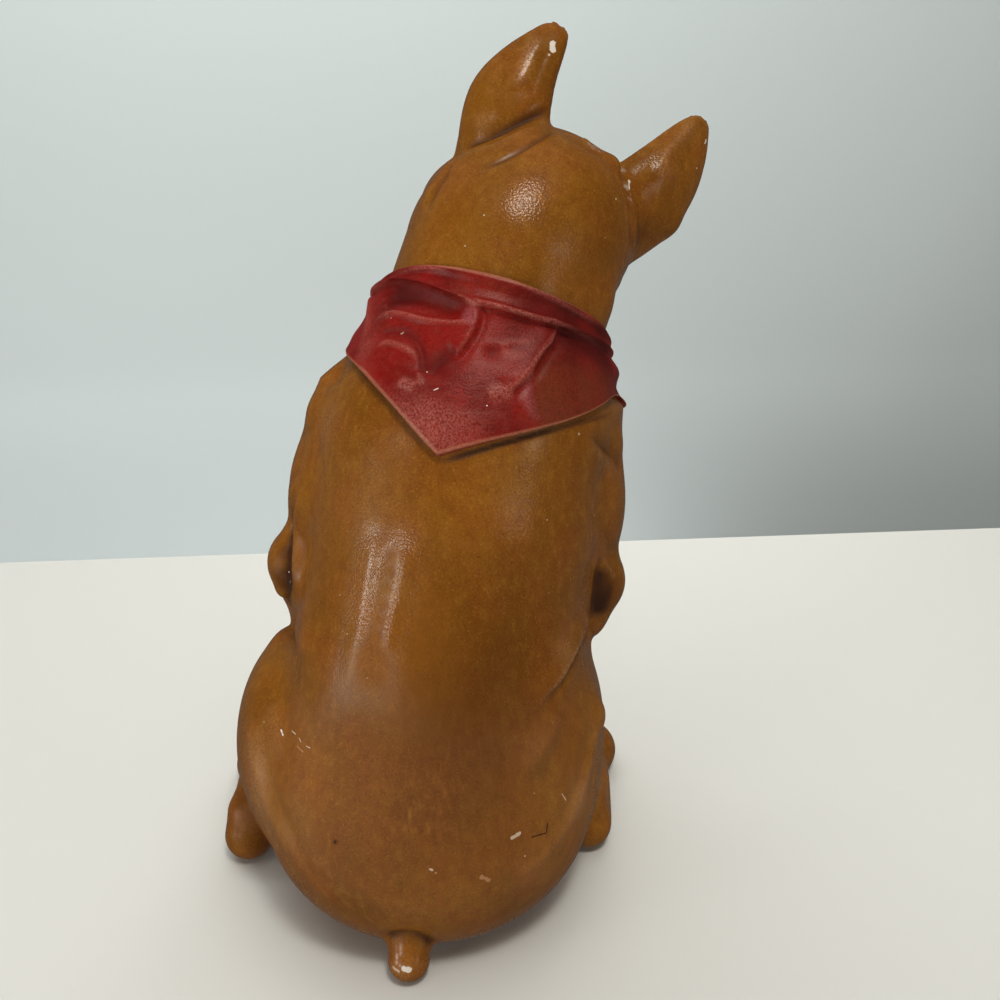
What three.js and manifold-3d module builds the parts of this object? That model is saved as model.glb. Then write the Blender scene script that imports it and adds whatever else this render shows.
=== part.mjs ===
// A hollow-cast resin figurine of a sitting short-haired dog with cropped ears, a docked tail and a
// neckerchief. The neckerchief is part of the casting, so the figurine is one solid.
// Millimetres. +Y is the way the dog faces, +X its right side, +Z up. The origin is on the flat
// underside of the seat, on the mid line of the haunches.
import * as THREE from "three";
import Module from "manifold-3d";
import { mergeVertices } from "three/addons/utils/BufferGeometryUtils.js";

// Driving dimensions
const SEAT_HALF_WIDTH = 89; // mid line to the side of a haunch
const WAIST_HALF_WIDTH = 67;
const RIB_HALF_WIDTH = 66;
const ELBOW_REACH = 80; // mid line of the ribs to the outer side of an elbow
const SHOULDER_HEIGHT = 210;
const HEEL_REACH = 98; // mid line to the outer side of a hind foot
const PAW_REACH = 31; // mid line to the middle of a forepaw
const PAW_FORWARD = 72;
const STANCE_SHIFT = 2; // how far the forepaws stand to the dog's right
const NECK_RADIUS = 48;
const SKULL_CENTRE = [73, 40, 309];
const SKULL_HALF_WIDTH = 43;
const EAR_LENGTH = { [-1]: 63, [1]: 58 };
const TAIL_RADIUS = 9;
const LEAN_START = 38; // height from which the trunk sways to the dog's right
const LEAN = 0.19; // millimetres of sway for each millimetre above that
const GIRDLE_TILT = 0.108; // drop of the shoulders on that side for each millimetre of width
const HEAD_TURN = THREE.MathUtils.degToRad(15); // to the dog's left
const HEAD_NOD = THREE.MathUtils.degToRad(-6); // nose down
const HEAD_COCK = THREE.MathUtils.degToRad(28.5); // crown towards the dog's right

const SIDES = [-1, 1]; // the dog's left, then its right
const { clamp, lerp, degToRad } = THREE.MathUtils;

/** How far the mid line of the trunk is moved to the dog's right at height `z`. */
const sway = (z) => LEAN * Math.max(z - LEAN_START, 0);

// Lumps of the trunk from the seat up: right of the swaying mid line, forward of the origin,
// height, half sizes, and the fillet to the lumps before them
const TRUNK = {
  rump: { right: 6, forward: -36, height: 56, half: [SEAT_HALF_WIDTH - 12, 70, 68], fillet: 1 },
  loins: { right: 1, forward: -18, height: 118, half: [WAIST_HALF_WIDTH, 66, 66], fillet: 24 },
  ribs: { right: 0, forward: -1, height: 179, half: [RIB_HALF_WIDTH, 69, 62], fillet: 24 },
  withers: { right: 0, forward: -5, height: 220, half: [62, 46, 38], fillet: 20 },
  breast: { right: 0, forward: 44, height: 192, half: [38, 37, 48], fillet: 26 },
};
const BELLY = { top: [34, 150], foot: [14, 35], radii: [40, 38], fillet: 20 }; // forward and height

// Lumps of one hind leg: out from the mid line, forward and up. The left thigh is the lower one.
const HIND = {
  thigh: {
    [-1]: { at: [SEAT_HALF_WIDTH - 29, -4, 66], half: [30, 54, 51], fillet: 12 },
    [1]: { at: [SEAT_HALF_WIDTH - 31, -4, 70], half: [30, 54, 55], fillet: 12 },
  },
  knee: { at: [SEAT_HALF_WIDTH - 28, 42, 64], half: [18, 24, 28], fillet: 14 },
  shin: { from: [66, 36, 46], to: [83, -8, 24], radii: [18, 13], fillet: 8 },
  foot: { from: [HEEL_REACH - 12.5, -11, 12.5], to: [90, 50, 13], radii: [12.5, 13], fillet: 5 },
  toes: { at: [91, 58, 11], half: [17, 21, 13.5], fillet: 6 },
};

// Lumps of one foreleg: out from the mid line, forward and up
const FORE = {
  shoulder: [42, 12, SHOULDER_HEIGHT],
  elbow: [ELBOW_REACH - 14, 2, 148],
  wrist: [PAW_REACH + 3, PAW_FORWARD - 10, 42],
  muscle: { at: [56, 6, 185], half: [20, 24, 30], fillet: 12 },
  armRadii: [35, 14],
  armFillet: 9,
  forearmRadii: [18, 13],
  forearmFillet: 8,
  paw: { at: [PAW_REACH, PAW_FORWARD, 14], half: [18, 25, 15.5], fillet: 9 },
};

// Lumps of the head: right, forward and up of the middle of the skull. Paired ones are on both sides.
const HEAD = [
  { at: [0, 0, 0], half: [SKULL_HALF_WIDTH, 44, 34], fillet: 16 }, // skull
  { at: [0, 50, -16], half: [23, 26, 19], fillet: 10 }, // muzzle
  { at: [36, 17, -13], half: [16, 21, 19], fillet: 8, paired: true }, // cheek
  { at: [13, 55, -22], half: [13, 21, 15], fillet: 4, paired: true }, // flew
  { at: [16, 31, 12], half: [12, 10, 9], fillet: 6, paired: true }, // brow
  { at: [31, -4, 18], half: [16, 11, 16], fillet: 8, paired: true }, // root of the ear
  { at: [0, 54, -34], half: [13, 16, 8], fillet: 4 }, // chin
  { at: [0, 74, -7], half: [10, 7, 8], fillet: 3 }, // nose
];
const NECK = { foot: [sway(226) - 1, 4, 228], top: [56, 24, 290], fillet: 20 };

// The distance fields of single lumps. Each maker returns a function of x, y and z.

/** An ellipsoid at `at` with the half sizes `half`, turned by `turn`. */
function ball(at, half, turn = new THREE.Matrix3()) {
  const m = turn.elements;
  const [a, b, c] = half;
  return (x, y, z) => {
    const dx = x - at[0], dy = y - at[1], dz = z - at[2];
    const u = (m[0] * dx + m[1] * dy + m[2] * dz) / a;
    const v = (m[3] * dx + m[4] * dy + m[5] * dz) / b;
    const w = (m[6] * dx + m[7] * dy + m[8] * dz) / c;
    const reach = Math.hypot(u, v, w);
    return (reach * (reach - 1)) / Math.max(Math.hypot(u / a, v / b, w / c), 1e-9);
  };
}

/** A limb from `from` to `to` that tapers between the two `radii`, with round ends. */
function limb(from, to, radii) {
  const axis = to.map((value, i) => value - from[i]);
  const length = Math.hypot(...axis);
  const slope = (radii[0] - radii[1]) / length;
  const lift = slope / Math.sqrt(Math.max(1 - slope * slope, 1e-9));
  return (x, y, z) => {
    const dx = x - from[0], dy = y - from[1], dz = z - from[2];
    const along = (dx * axis[0] + dy * axis[1] + dz * axis[2]) / length;
    const off = Math.sqrt(Math.max(dx * dx + dy * dy + dz * dz - along * along, 0));
    const t = clamp((along + off * lift) / length, 0, 1);
    return Math.hypot(off, along - t * length) - lerp(radii[0], radii[1], t);
  };
}

/** Two distances joined, with a fillet of about `fillet` between them. */
function join(a, b, fillet) {
  const near = Math.max(fillet - Math.abs(a - b), 0) / fillet;
  return Math.min(a, b) - (near * near * fillet) / 4;
}

const headTurn = new THREE.Matrix4()
  .makeRotationZ(HEAD_TURN)
  .multiply(new THREE.Matrix4().makeRotationX(HEAD_NOD))
  .multiply(new THREE.Matrix4().makeRotationY(HEAD_COCK));
const headAxes = new THREE.Matrix3().setFromMatrix4(headTurn);

/** The place right, forward and up of the middle of the skull, along the axes of the head. */
function onHead(right, forward, up) {
  const p = new THREE.Vector3(right, forward, up).applyMatrix4(headTurn);
  return [SKULL_CENTRE[0] + p.x, SKULL_CENTRE[1] + p.y, SKULL_CENTRE[2] + p.z];
}

/** Every lump of the dog, in the order in which it is pressed on. */
function lumps() {
  const list = [];
  const add = (field, fillet) => list.push({ field, fillet });
  for (const { right, forward, height, half, fillet } of Object.values(TRUNK))
    add(ball([sway(height) + right, forward, height], half), fillet);
  const onMidLine = ([forward, height]) => [sway(height), forward, height];
  add(limb(onMidLine(BELLY.top), onMidLine(BELLY.foot), BELLY.radii), BELLY.fillet);

  for (const side of SIDES) {
    const beside = ([out, forward, up], shift = 0) => [side * out + shift, forward, up];
    const thigh = HIND.thigh[side];
    add(ball(beside(thigh.at, sway(thigh.at[2])), thigh.half), thigh.fillet);
    add(ball(beside(HIND.knee.at, sway(HIND.knee.at[2])), HIND.knee.half), HIND.knee.fillet);
    for (const { from, to, radii, fillet } of [HIND.shin, HIND.foot])
      add(limb(beside(from), beside(to), radii), fillet);
    add(ball(beside(HIND.toes.at), HIND.toes.half), HIND.toes.fillet);

    const onGirdle = ([out, forward, up]) =>
      [side * out + sway(up), forward, up - side * GIRDLE_TILT * out];
    add(limb(onGirdle(FORE.shoulder), onGirdle(FORE.elbow), FORE.armRadii), FORE.armFillet);
    add(ball(onGirdle(FORE.muscle.at), FORE.muscle.half), FORE.muscle.fillet);
    const wrist = beside(FORE.wrist, STANCE_SHIFT);
    add(limb(onGirdle(FORE.elbow), wrist, FORE.forearmRadii), FORE.forearmFillet);
    add(ball(beside(FORE.paw.at, STANCE_SHIFT), FORE.paw.half), FORE.paw.fillet);
  }

  add(limb(NECK.foot, NECK.top, [NECK_RADIUS + 4, NECK_RADIUS]), NECK.fillet);
  for (const { at, half, fillet, paired } of HEAD)
    for (const side of paired ? SIDES : [1])
      add(ball(onHead(side * at[0], at[1], at[2]), half, headAxes), fillet);
  return list;
}

const clay = lumps();

/** Signed distance to the skin of the dog. */
function skin(x, y, z) {
  let d = clay[0].field(x, y, z);
  for (let i = 1; i < clay.length; i++) d = join(d, clay[i].field(x, y, z), clay[i].fillet);
  return d;
}

/** Places from `low` to at least `high`, each `step` of the last one further on. */
function planes(low, high, step) {
  const list = [low];
  while (list.at(-1) < high) list.push(list.at(-1) + step(list.at(-1)));
  return list;
}

// A cell's corners are numbered by bits, x 1, y 2 and z 4, and its edges by axis and lower corner
const edgeOf = (axis, corner) => 8 * axis + corner;
const CORNERS = [0, 1, 2, 3, 4, 5, 6, 7];
const CELL_EDGES = [0, 1, 2].flatMap((axis) =>
  CORNERS.filter((corner) => !(corner & (1 << axis))).map((corner) => ({ axis, corner })),
);
const EDGES_TO_A_CELL = 24; // numbers that edgeOf may give

// The corners of the six faces of a cell, each in order round the face
const CELL_FACES = [0, 1, 2].flatMap((axis) => {
  const [b, c] = [1 << ((axis + 1) % 3), 1 << ((axis + 2) % 3)];
  return [0, 1 << axis].map((low) => [low, low | b, low | b | c, low | c]);
});

/** The number of the edge between two neighbouring corners. */
const edgeBetween = (p, q) => edgeOf(Math.log2(p ^ q), Math.min(p, q));

/** For each cut edge of a cell, the first edge of the sheet of skin that it belongs to. */
function sheetsOf(inside) {
  const first = Array.from({ length: EDGES_TO_A_CELL }, (_, edge) => edge);
  const find = (edge) => (first[edge] === edge ? edge : find(first[edge]));
  const link = (p, q) => (first[find(p)] = find(q));
  for (const face of CELL_FACES) {
    const sides = face.map((corner, n) => [corner, face[(n + 1) % 4]]);
    const cut = sides.filter(([p, q]) => inside[p] !== inside[q]).map(([p, q]) => edgeBetween(p, q));
    if (cut.length === 2) link(cut[0], cut[1]);
    if (cut.length === 4)
      for (let n = 0; n < 4; n++)
        if (inside[face[n]]) link(cut[(n + 3) % 4], cut[n]);
  }
  return first.map((_, edge) => find(edge));
}

/** A closed mesh of the places where `field` is zero, on a grid of uneven planes. */
function skinMesh(field, xs, ys, zs) {
  const [nx, ny, nz] = [xs.length, ys.length, zs.length];
  const at = (i, j, k) => i + nx * (j + ny * k);
  const values = new Float32Array(nx * ny * nz);
  for (let k = 0; k < nz; k++)
    for (let j = 0; j < ny; j++)
      for (let i = 0; i < nx; i++) values[at(i, j, k)] = field(xs[i], ys[j], zs[k]);

  // In each cell, one vertex for each sheet of skin, at the mean of the edges that the sheet cuts
  const vertexOf = new Int32Array(EDGES_TO_A_CELL * nx * ny * nz);
  const points = [];
  for (let k = 0; k < nz - 1; k++)
    for (let j = 0; j < ny - 1; j++)
      for (let i = 0; i < nx - 1; i++) {
        const grid = CORNERS.map((c) => [i + (c & 1), j + ((c >> 1) & 1), k + (c >> 2)]);
        const inside = grid.map((place) => values[at(...place)] < 0);
        if (inside.every((value) => value === inside[0])) continue;
        const sheets = sheetsOf(inside);
        const cuts = new Map();
        for (const { axis, corner } of CELL_EDGES) {
          const other = corner | (1 << axis);
          if (inside[corner] === inside[other]) continue;
          const [a, b] = [grid[corner], grid[other]];
          const t = values[at(...a)] / (values[at(...a)] - values[at(...b)]);
          const point = [xs, ys, zs].map((places, n) => lerp(places[a[n]], places[b[n]], t));
          const edge = edgeOf(axis, corner);
          if (!cuts.has(sheets[edge])) cuts.set(sheets[edge], []);
          cuts.get(sheets[edge]).push({ edge, point });
        }
        for (const sheet of cuts.values()) {
          const total = (n) => sheet.reduce((sum, { point }) => sum + point[n], 0);
          const mean = [0, 1, 2].map((n) => total(n) / sheet.length);
          for (const { edge } of sheet) vertexOf[EDGES_TO_A_CELL * at(i, j, k) + edge] = points.length / 3;
          points.push(...settle(field, mean));
        }
      }

  // A quad of the four cells round each grid edge that the skin cuts
  const faces = [];
  for (let k = 1; k < nz - 1; k++)
    for (let j = 1; j < ny - 1; j++)
      for (let i = 1; i < nx - 1; i++) {
        const here = values[at(i, j, k)] < 0;
        const around = [
          [values[at(i + 1, j, k)], [[0, 0, 0], [0, 1, 0], [0, 1, 1], [0, 0, 1]]],
          [values[at(i, j + 1, k)], [[0, 0, 0], [0, 0, 1], [1, 0, 1], [1, 0, 0]]],
          [values[at(i, j, k + 1)], [[0, 0, 0], [1, 0, 0], [1, 1, 0], [0, 1, 0]]],
        ];
        around.forEach(([there, ring], axis) => {
          if (here === there < 0) return;
          const q = ring.map(([di, dj, dk]) => {
            const edge = edgeOf(axis, di + 2 * dj + 4 * dk);
            return vertexOf[EDGES_TO_A_CELL * at(i - di, j - dj, k - dk) + edge];
          });
          if (!here) q.reverse();
          faces.push(q[0], q[1], q[2], q[0], q[2], q[3]);
        });
      }
  const geometry = new THREE.BufferGeometry();
  geometry.setAttribute("position", new THREE.Float32BufferAttribute(points, 3));
  geometry.setIndex(faces);
  return geometry;
}

/** The point moved along the slope of `field` until it lies on the skin. */
function settle(field, point) {
  const probe = 0.25; // how far to each side the slope is measured
  const longest = 2; // step in one round
  let place = point;
  for (let round = 0; round < 3; round++) {
    const slope = [0, 1, 2].map((axis) => {
      const beside = (off) => field(...place.map((value, n) => value + (n === axis ? off : 0)));
      return (beside(probe) - beside(-probe)) / (2 * probe);
    });
    const steep = Math.max(slope[0] ** 2 + slope[1] ** 2 + slope[2] ** 2, 0.25);
    const move = clamp(field(...place), -longest, longest) / steep;
    place = place.map((value, axis) => value - move * slope[axis]);
  }
  return place;
}

const wasm = await Module();
wasm.setup();

/** A closed three.js geometry as a solid that can be joined and cut. */
function solid(geometry) {
  const bare = geometry.clone();
  bare.deleteAttribute("normal");
  bare.deleteAttribute("uv");
  const merged = mergeVertices(bare, 1e-4);
  const mesh = new wasm.Mesh({
    numProp: 3,
    vertProperties: new Float32Array(merged.attributes.position.array),
    triVerts: new Uint32Array(merged.index.array),
  });
  return new wasm.Manifold(mesh);
}

/** A solid as a three.js geometry. */
function geometryOf(body) {
  const mesh = body.getMesh();
  const geometry = new THREE.BufferGeometry();
  geometry.setAttribute("position", new THREE.BufferAttribute(mesh.vertProperties, 3));
  geometry.setIndex(new THREE.BufferAttribute(mesh.triVerts, 1));
  geometry.computeVertexNormals();
  return geometry;
}

/** A closed hoop, or a tube with flat ends: `rings` of equally many points, each joined to the next. */
function skinOfRings(rings, hoop) {
  const around = rings[0].length;
  const points = rings.flat(2);
  const faces = [];
  for (let i = 0; i < (hoop ? rings.length : rings.length - 1); i++)
    for (let j = 0; j < around; j++) {
      const a = i * around + j;
      const b = i * around + ((j + 1) % around);
      const c = ((i + 1) % rings.length) * around + j;
      const d = ((i + 1) % rings.length) * around + ((j + 1) % around);
      faces.push(a, b, d, a, d, c);
    }
  for (const end of hoop ? [] : [0, rings.length - 1]) {
    const centre = points.length / 3;
    points.push(...[0, 1, 2].map((k) => rings[end].reduce((sum, p) => sum + p[k], 0) / around));
    for (let j = 0; j < around; j++) {
      const edge = [end * around + j, end * around + ((j + 1) % around)];
      if (end === 0) edge.reverse();
      faces.push(...edge, centre);
    }
  }
  const geometry = new THREE.BufferGeometry();
  geometry.setAttribute("position", new THREE.Float32BufferAttribute(points, 3));
  geometry.setIndex(faces);
  return geometry;
}

/** Smooth values between the [place, value] stops, which are in order of place. */
function profile(stops) {
  const curve = new THREE.SplineCurve(stops.map(([place, value]) => new THREE.Vector2(place, value)));
  const table = curve.getPoints(12 * (stops.length - 1));
  return (place) => {
    const i = clamp(table.findIndex((p) => p.x >= place), 1, table.length - 1);
    const [a, b] = [table[i - 1], table[i]];
    return lerp(a.y, b.y, clamp((place - a.x) / Math.max(b.x - a.x, 1e-6), 0, 1));
  };
}

// The ears: where the root is on the head, and how the centre line and the width run up to the tip
const EAR_ROOT = [31, -6, 10];
const EAR_FLARE = { [-1]: -1, [1]: 17 }; // how far out the tip is from the root
const EAR_BOW = { [-1]: 6, [1]: 3 }; // how far the centre line bows out on the way
const EAR_TWIST = { [-1]: -0.45, [1]: 0.3 }; // turn about its own length, in radians
const EAR_CUP = 7; // depth of the hollow in front
const EAR_RIM = 3; // thickness in front of the centre line
const EAR_BACK = 0.62; // roundness of the back, as a share of the half width
const EAR_STATIONS = [-0.35, -0.15, 0.05, 0.22, 0.38, 0.54, 0.7, 0.83, 0.92, 0.975, 1];
const earHalfWidth = {
  [-1]: profile([[-0.35, 16], [0, 20.5], [0.35, 19.5], [0.7, 13.5], [0.92, 8], [1, 4]]),
  [1]: profile([[-0.35, 18], [0, 25], [0.35, 22.5], [0.7, 15], [0.92, 8], [1, 3]]),
};

/** A cropped ear: rings along a bowed centre line, round behind and cupped in front. */
function ear(side) {
  const around = 14;
  const twist = EAR_TWIST[side];
  const rings = EAR_STATIONS.map((t) => {
    const halfWidth = earHalfWidth[side](t);
    const cup = EAR_CUP * Math.sqrt(clamp(t, 0, 1)) * clamp(1.6 * (1 - t), 0, 1);
    const bow = EAR_FLARE[side] * t + EAR_BOW[side] * Math.sin(Math.PI * clamp(t, 0, 1)) ** 1.2;
    return Array.from({ length: around }, (_, j) => {
      const angle = (2 * Math.PI * j) / around;
      const across = halfWidth * Math.cos(angle);
      const hump = Math.sin(angle);
      const depth = hump > 0 ? EAR_RIM * hump - cup * hump ** 3 : EAR_BACK * halfWidth * hump;
      const right = side * (EAR_ROOT[0] + bow) + across * Math.cos(twist) - depth * Math.sin(twist);
      const forward = EAR_ROOT[1] + across * Math.sin(twist) + depth * Math.cos(twist);
      return onHead(right, forward, EAR_ROOT[2] + EAR_LENGTH[side] * t);
    });
  });
  return skinOfRings(rings, false);
}

// The neckerchief lies round the neck: a centre on the neck's axis and directions across it
const SCARF_CENTRE = new THREE.Vector3(52, 15, 269.5);
const SCARF_COLUMNS = 54;
const SCARF_DEPTH = 6; // how far its inner side is pressed into the coat
const BAND_LIFT = 3.2; // how far the rolled band stands out of the coat
const FLAP_LIFT = 5.6; // and the flap where it leaves the band
const HEM_LIFT = 3;
const scarfUp = new THREE.Vector3(0.287, 0.397, 0.872).normalize();
const scarfRight = new THREE.Vector3(1, 0, 0).addScaledVector(scarfUp, -scarfUp.x).normalize();
const scarfFront = new THREE.Vector3().crossVectors(scarfUp, scarfRight);

/** The point at `angle` round the neck from its back, at `height` and `lift` above the coat. */
function onNeck(angle, height, lift) {
  const out = scarfRight.clone().multiplyScalar(Math.sin(degToRad(angle)));
  out.addScaledVector(scarfFront, -Math.cos(degToRad(angle)));
  const centre = SCARF_CENTRE.clone().addScaledVector(scarfUp, height);
  let reach = NECK_RADIUS;
  for (let step = 0; step < 40; step++) {
    const p = centre.clone().addScaledVector(out, reach);
    reach -= 0.8 * skin(p.x, p.y, p.z);
  }
  return centre.addScaledVector(out, reach + lift).toArray();
}

// Heights of the top edge, the hem and the rolled band's lower edge, at degrees round the neck from
// its back
const TIP_ANGLE = -8;
const topLine = profile([[-181, 0], [-120, -2], [-80, -4], [-40, 0], [60, 0], [100, -1], [181, 0]]);
const hemLine = profile([
  [-181, -26], [-120, -28], [-81, -34], [-45, -55], [TIP_ANGLE - 1, -77],
  [TIP_ANGLE + 1, -77], [40, -53], [74, -32], [90, -27], [130, -26], [181, -26],
]);
const bandLine = profile([
  [-181, -9], [-100, -3], [-76, -1.5], [-40, -9], [-15, -14],
  [20, -14], [60, -10], [100, -8], [181, -9],
]);
const FLAP_ROWS = [0, 0.25, 0.5, 0.75]; // shares of the way from the band to the hem

// Folds of the flap: where each starts and ends, in degrees and shares of the way down, its width
// in degrees and how far it stands out
const FOLDS = [
  { from: [-58, 0.42], to: [6, 0.36], width: 11, rise: 1.8 },
  { from: [-60, 0.16], to: [2, 0.1], width: 9, rise: -1.6 },
  { from: [60, 0.1], to: [22, 0.5], width: 8, rise: 2 },
  { from: [22, 0.5], to: [30, 0.9], width: 8, rise: 1.4 },
  { from: [-22, 0.62], to: [-16, 0.9], width: 10, rise: -1.4 },
];

/** How far the cloth stands out at `angle` and the share `down` of the way to the hem. */
function drape(angle, down) {
  const degreesPerShare = 60;
  return FOLDS.reduce((sum, { from, to, width, rise }) => {
    const axis = [to[0] - from[0], degreesPerShare * (to[1] - from[1])];
    const reach = [angle - from[0], degreesPerShare * (down - from[1])];
    const t = clamp((reach[0] * axis[0] + reach[1] * axis[1]) / (axis[0] ** 2 + axis[1] ** 2), 0, 1);
    const off = Math.hypot(reach[0] - t * axis[0], reach[1] - t * axis[1]);
    return sum + rise * Math.exp(-((off / width) ** 2));
  }, 0);
}

/** The neckerchief: a rolled band on top and a flap that hangs to a point behind. */
function neckerchief() {
  const rings = [];
  for (let i = 0; i < SCARF_COLUMNS; i++) {
    const angle = (360 * (i + 0.5)) / SCARF_COLUMNS - 180;
    const [top, hem, band] = [topLine(angle), hemLine(angle), bandLine(angle)];
    const ring = [onNeck(angle, top, 1), onNeck(angle, top - 1, BAND_LIFT)];
    ring.push(onNeck(angle, band + 1, BAND_LIFT));
    for (const down of FLAP_ROWS) {
      const lift = lerp(FLAP_LIFT, HEM_LIFT, down) + drape(angle, down);
      ring.push(onNeck(angle, lerp(band - 1, hem, down), lift));
    }
    ring.push(onNeck(angle, hem, HEM_LIFT));
    ring.push(onNeck(angle, hem + 1, -SCARF_DEPTH), onNeck(angle, top - 1, -SCARF_DEPTH));
    rings.push(ring);
  }
  return skinOfRings(rings, true);
}

const KNOT = { angle: 180, height: -17, lift: 4, half: [12, 8, 9] };
const KNOT_END = { length: 38, halfWidth: 9, rise: 6, spread: 22, widest: 0.65 };

/** The knot at the throat. */
function knot() {
  const lump = new THREE.SphereGeometry(1, 10, 6).scale(...KNOT.half);
  return lump.translate(...onNeck(KNOT.angle, KNOT.height, KNOT.lift));
}

/** One of the two short ends that hang from the knot: a flat leaf that widens and comes to a point. */
function knotEnd(side) {
  const { length, halfWidth, rise, spread, widest } = KNOT_END;
  const millimetresPerDegree = degToRad(NECK_RADIUS);
  const around = 8;
  const rings = [0, 0.3, 0.65, 0.85, 1].map((t) => {
    const share = t < widest ? lerp(0.5, 1, t / widest) : lerp(1, 0.08, (t - widest) / (1 - widest));
    const middle = KNOT.angle + side * spread * t;
    return Array.from({ length: around }, (_, j) => {
      const turn = (2 * Math.PI * j) / around;
      const angle = middle + (share * halfWidth * Math.cos(turn)) / millimetresPerDegree;
      return onNeck(angle, KNOT.height - length * t, rise * Math.sin(turn));
    });
  });
  return skinOfRings(rings, false);
}

const TAIL = { root: [2, -84, 24], tip: [1, -95, TAIL_RADIUS], rootRadius: TAIL_RADIUS + 4 };

/** The docked tail: a stub that tapers to a domed end on the ground. */
function tail() {
  const root = new THREE.Vector3(...TAIL.root);
  const axis = new THREE.Vector3(...TAIL.tip).sub(root);
  const outline = [new THREE.Vector2(0, 0), new THREE.Vector2(TAIL.rootRadius, 0)];
  for (const turn of [0, 30, 60].map(degToRad)) {
    const along = axis.length() + TAIL_RADIUS * Math.sin(turn);
    outline.push(new THREE.Vector2(TAIL_RADIUS * Math.cos(turn), along));
  }
  outline.push(new THREE.Vector2(0, axis.length() + TAIL_RADIUS));
  const up = new THREE.Vector3(0, 1, 0);
  const turn = new THREE.Quaternion().setFromUnitVectors(up, axis.clone().normalize());
  return new THREE.LatheGeometry(outline, 12).applyQuaternion(turn).translate(...TAIL.root);
}

const TOE_HALF = [5.6, 9, 6.4];
const TOE_PITCH = 9.5; // from the middle of one toe to the next
const TOE_CURVE = 2.5; // how far the outer toes are set back
const TOES_FORWARD = 18; // from the middle of a paw to the middle of its toes

/** The three toes in front of a paw whose middle is `out` from the mid line and `forward`. */
function toes(out, forward) {
  return [-1, 0, 1].map((step) => {
    const toe = new THREE.SphereGeometry(1, 7, 4).scale(...TOE_HALF);
    const front = forward + TOES_FORWARD - TOE_CURVE * Math.abs(step);
    return toe.translate(out + step * TOE_PITCH, front, TOE_HALF[2]);
  });
}

const EYE = { at: [17.5, 37, 3], radius: 5.5 }; // right, forward and up of the middle of the skull

/** An eyeball under its brow. */
function eye(side) {
  const [out, forward, up] = EYE.at;
  return new THREE.SphereGeometry(EYE.radius, 7, 5).translate(...onHead(side * out, forward, up));
}

// Trunk and head are meshed apart, the head more finely, and overlap under the neckerchief
const HIDDEN_LAP = 3; // how far each of them ends past the middle of the lap, along the axis
const LAP_HEIGHT = -9;
const TRUNK_CELL = 10.8;
const TRUNK_STEP = 11.5; // between the level planes of the trunk
const FOOT_STEP = 7; // and below the height of the feet
const FOOT_HEIGHT = 34;
const HEAD_CELL = 8.0;
const neckHeight = (x, y, z) => new THREE.Vector3(x, y, z).sub(SCARF_CENTRE).dot(scarfUp);
const trunkSkin = (x, y, z) => Math.max(skin(x, y, z), neckHeight(x, y, z) - LAP_HEIGHT - HIDDEN_LAP);
const headSkin = (x, y, z) => Math.max(skin(x, y, z), LAP_HEIGHT - HIDDEN_LAP - neckHeight(x, y, z));

const trunk = skinMesh(
  trunkSkin,
  planes(-122, 145, () => TRUNK_CELL),
  planes(-125, 125, () => TRUNK_CELL),
  planes(-26, 300, (z) => (z < FOOT_HEIGHT ? FOOT_STEP : TRUNK_STEP)),
);
const head = skinMesh(
  headSkin,
  planes(-20, 145, () => HEAD_CELL),
  planes(-50, 135, () => HEAD_CELL),
  planes(220, 375, () => HEAD_CELL),
);

let casting = solid(trunk).add(solid(head));
for (const side of SIDES) {
  const hindToes = toes(side * HIND.toes.at[0], HIND.toes.at[1]);
  const foreToes = toes(side * PAW_REACH + STANCE_SHIFT, PAW_FORWARD);
  for (const piece of [ear(side), eye(side), knotEnd(side), ...hindToes, ...foreToes])
    casting = casting.add(solid(piece));
}
for (const piece of [neckerchief(), knot(), tail()]) casting = casting.add(solid(piece));

// The underside is ground flat
const ground = new THREE.BoxGeometry(600, 600, 100).translate(0, 0, -50);
casting = casting.subtract(solid(ground));

const paint = new THREE.MeshStandardMaterial({ color: 0x9a5a26, roughness: 0.45, metalness: 0 });
const figurine = new THREE.Mesh(geometryOf(casting), paint);
figurine.name = "dog_figurine";

const group = new THREE.Group();
group.name = "resin_dog_figurine";
group.add(figurine);

export default group;
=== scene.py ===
"""A sitting resin dog with cropped ears, a docked tail and a red neckerchief, seen from behind.

The casting is modelled as a potter would: lumps are pressed together, fused into one skin, settled on
the blended surface of the lumps and then worked with small tools. The neckerchief is spun round the
neck and laid on the coat. Lengths are millimetres until a mesh is finished, and then metres. +Y is
the way the dog faces, +X its right side and +Z up, and the origin is under the seat.
"""

from __future__ import annotations

import logging
import math
from collections.abc import Callable, Iterable, Sequence
from dataclasses import dataclass, field
from enum import Enum

import bmesh
import bpy
import numpy as np
from mathutils import Matrix, Vector
from mathutils.bvhtree import BVHTree

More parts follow.
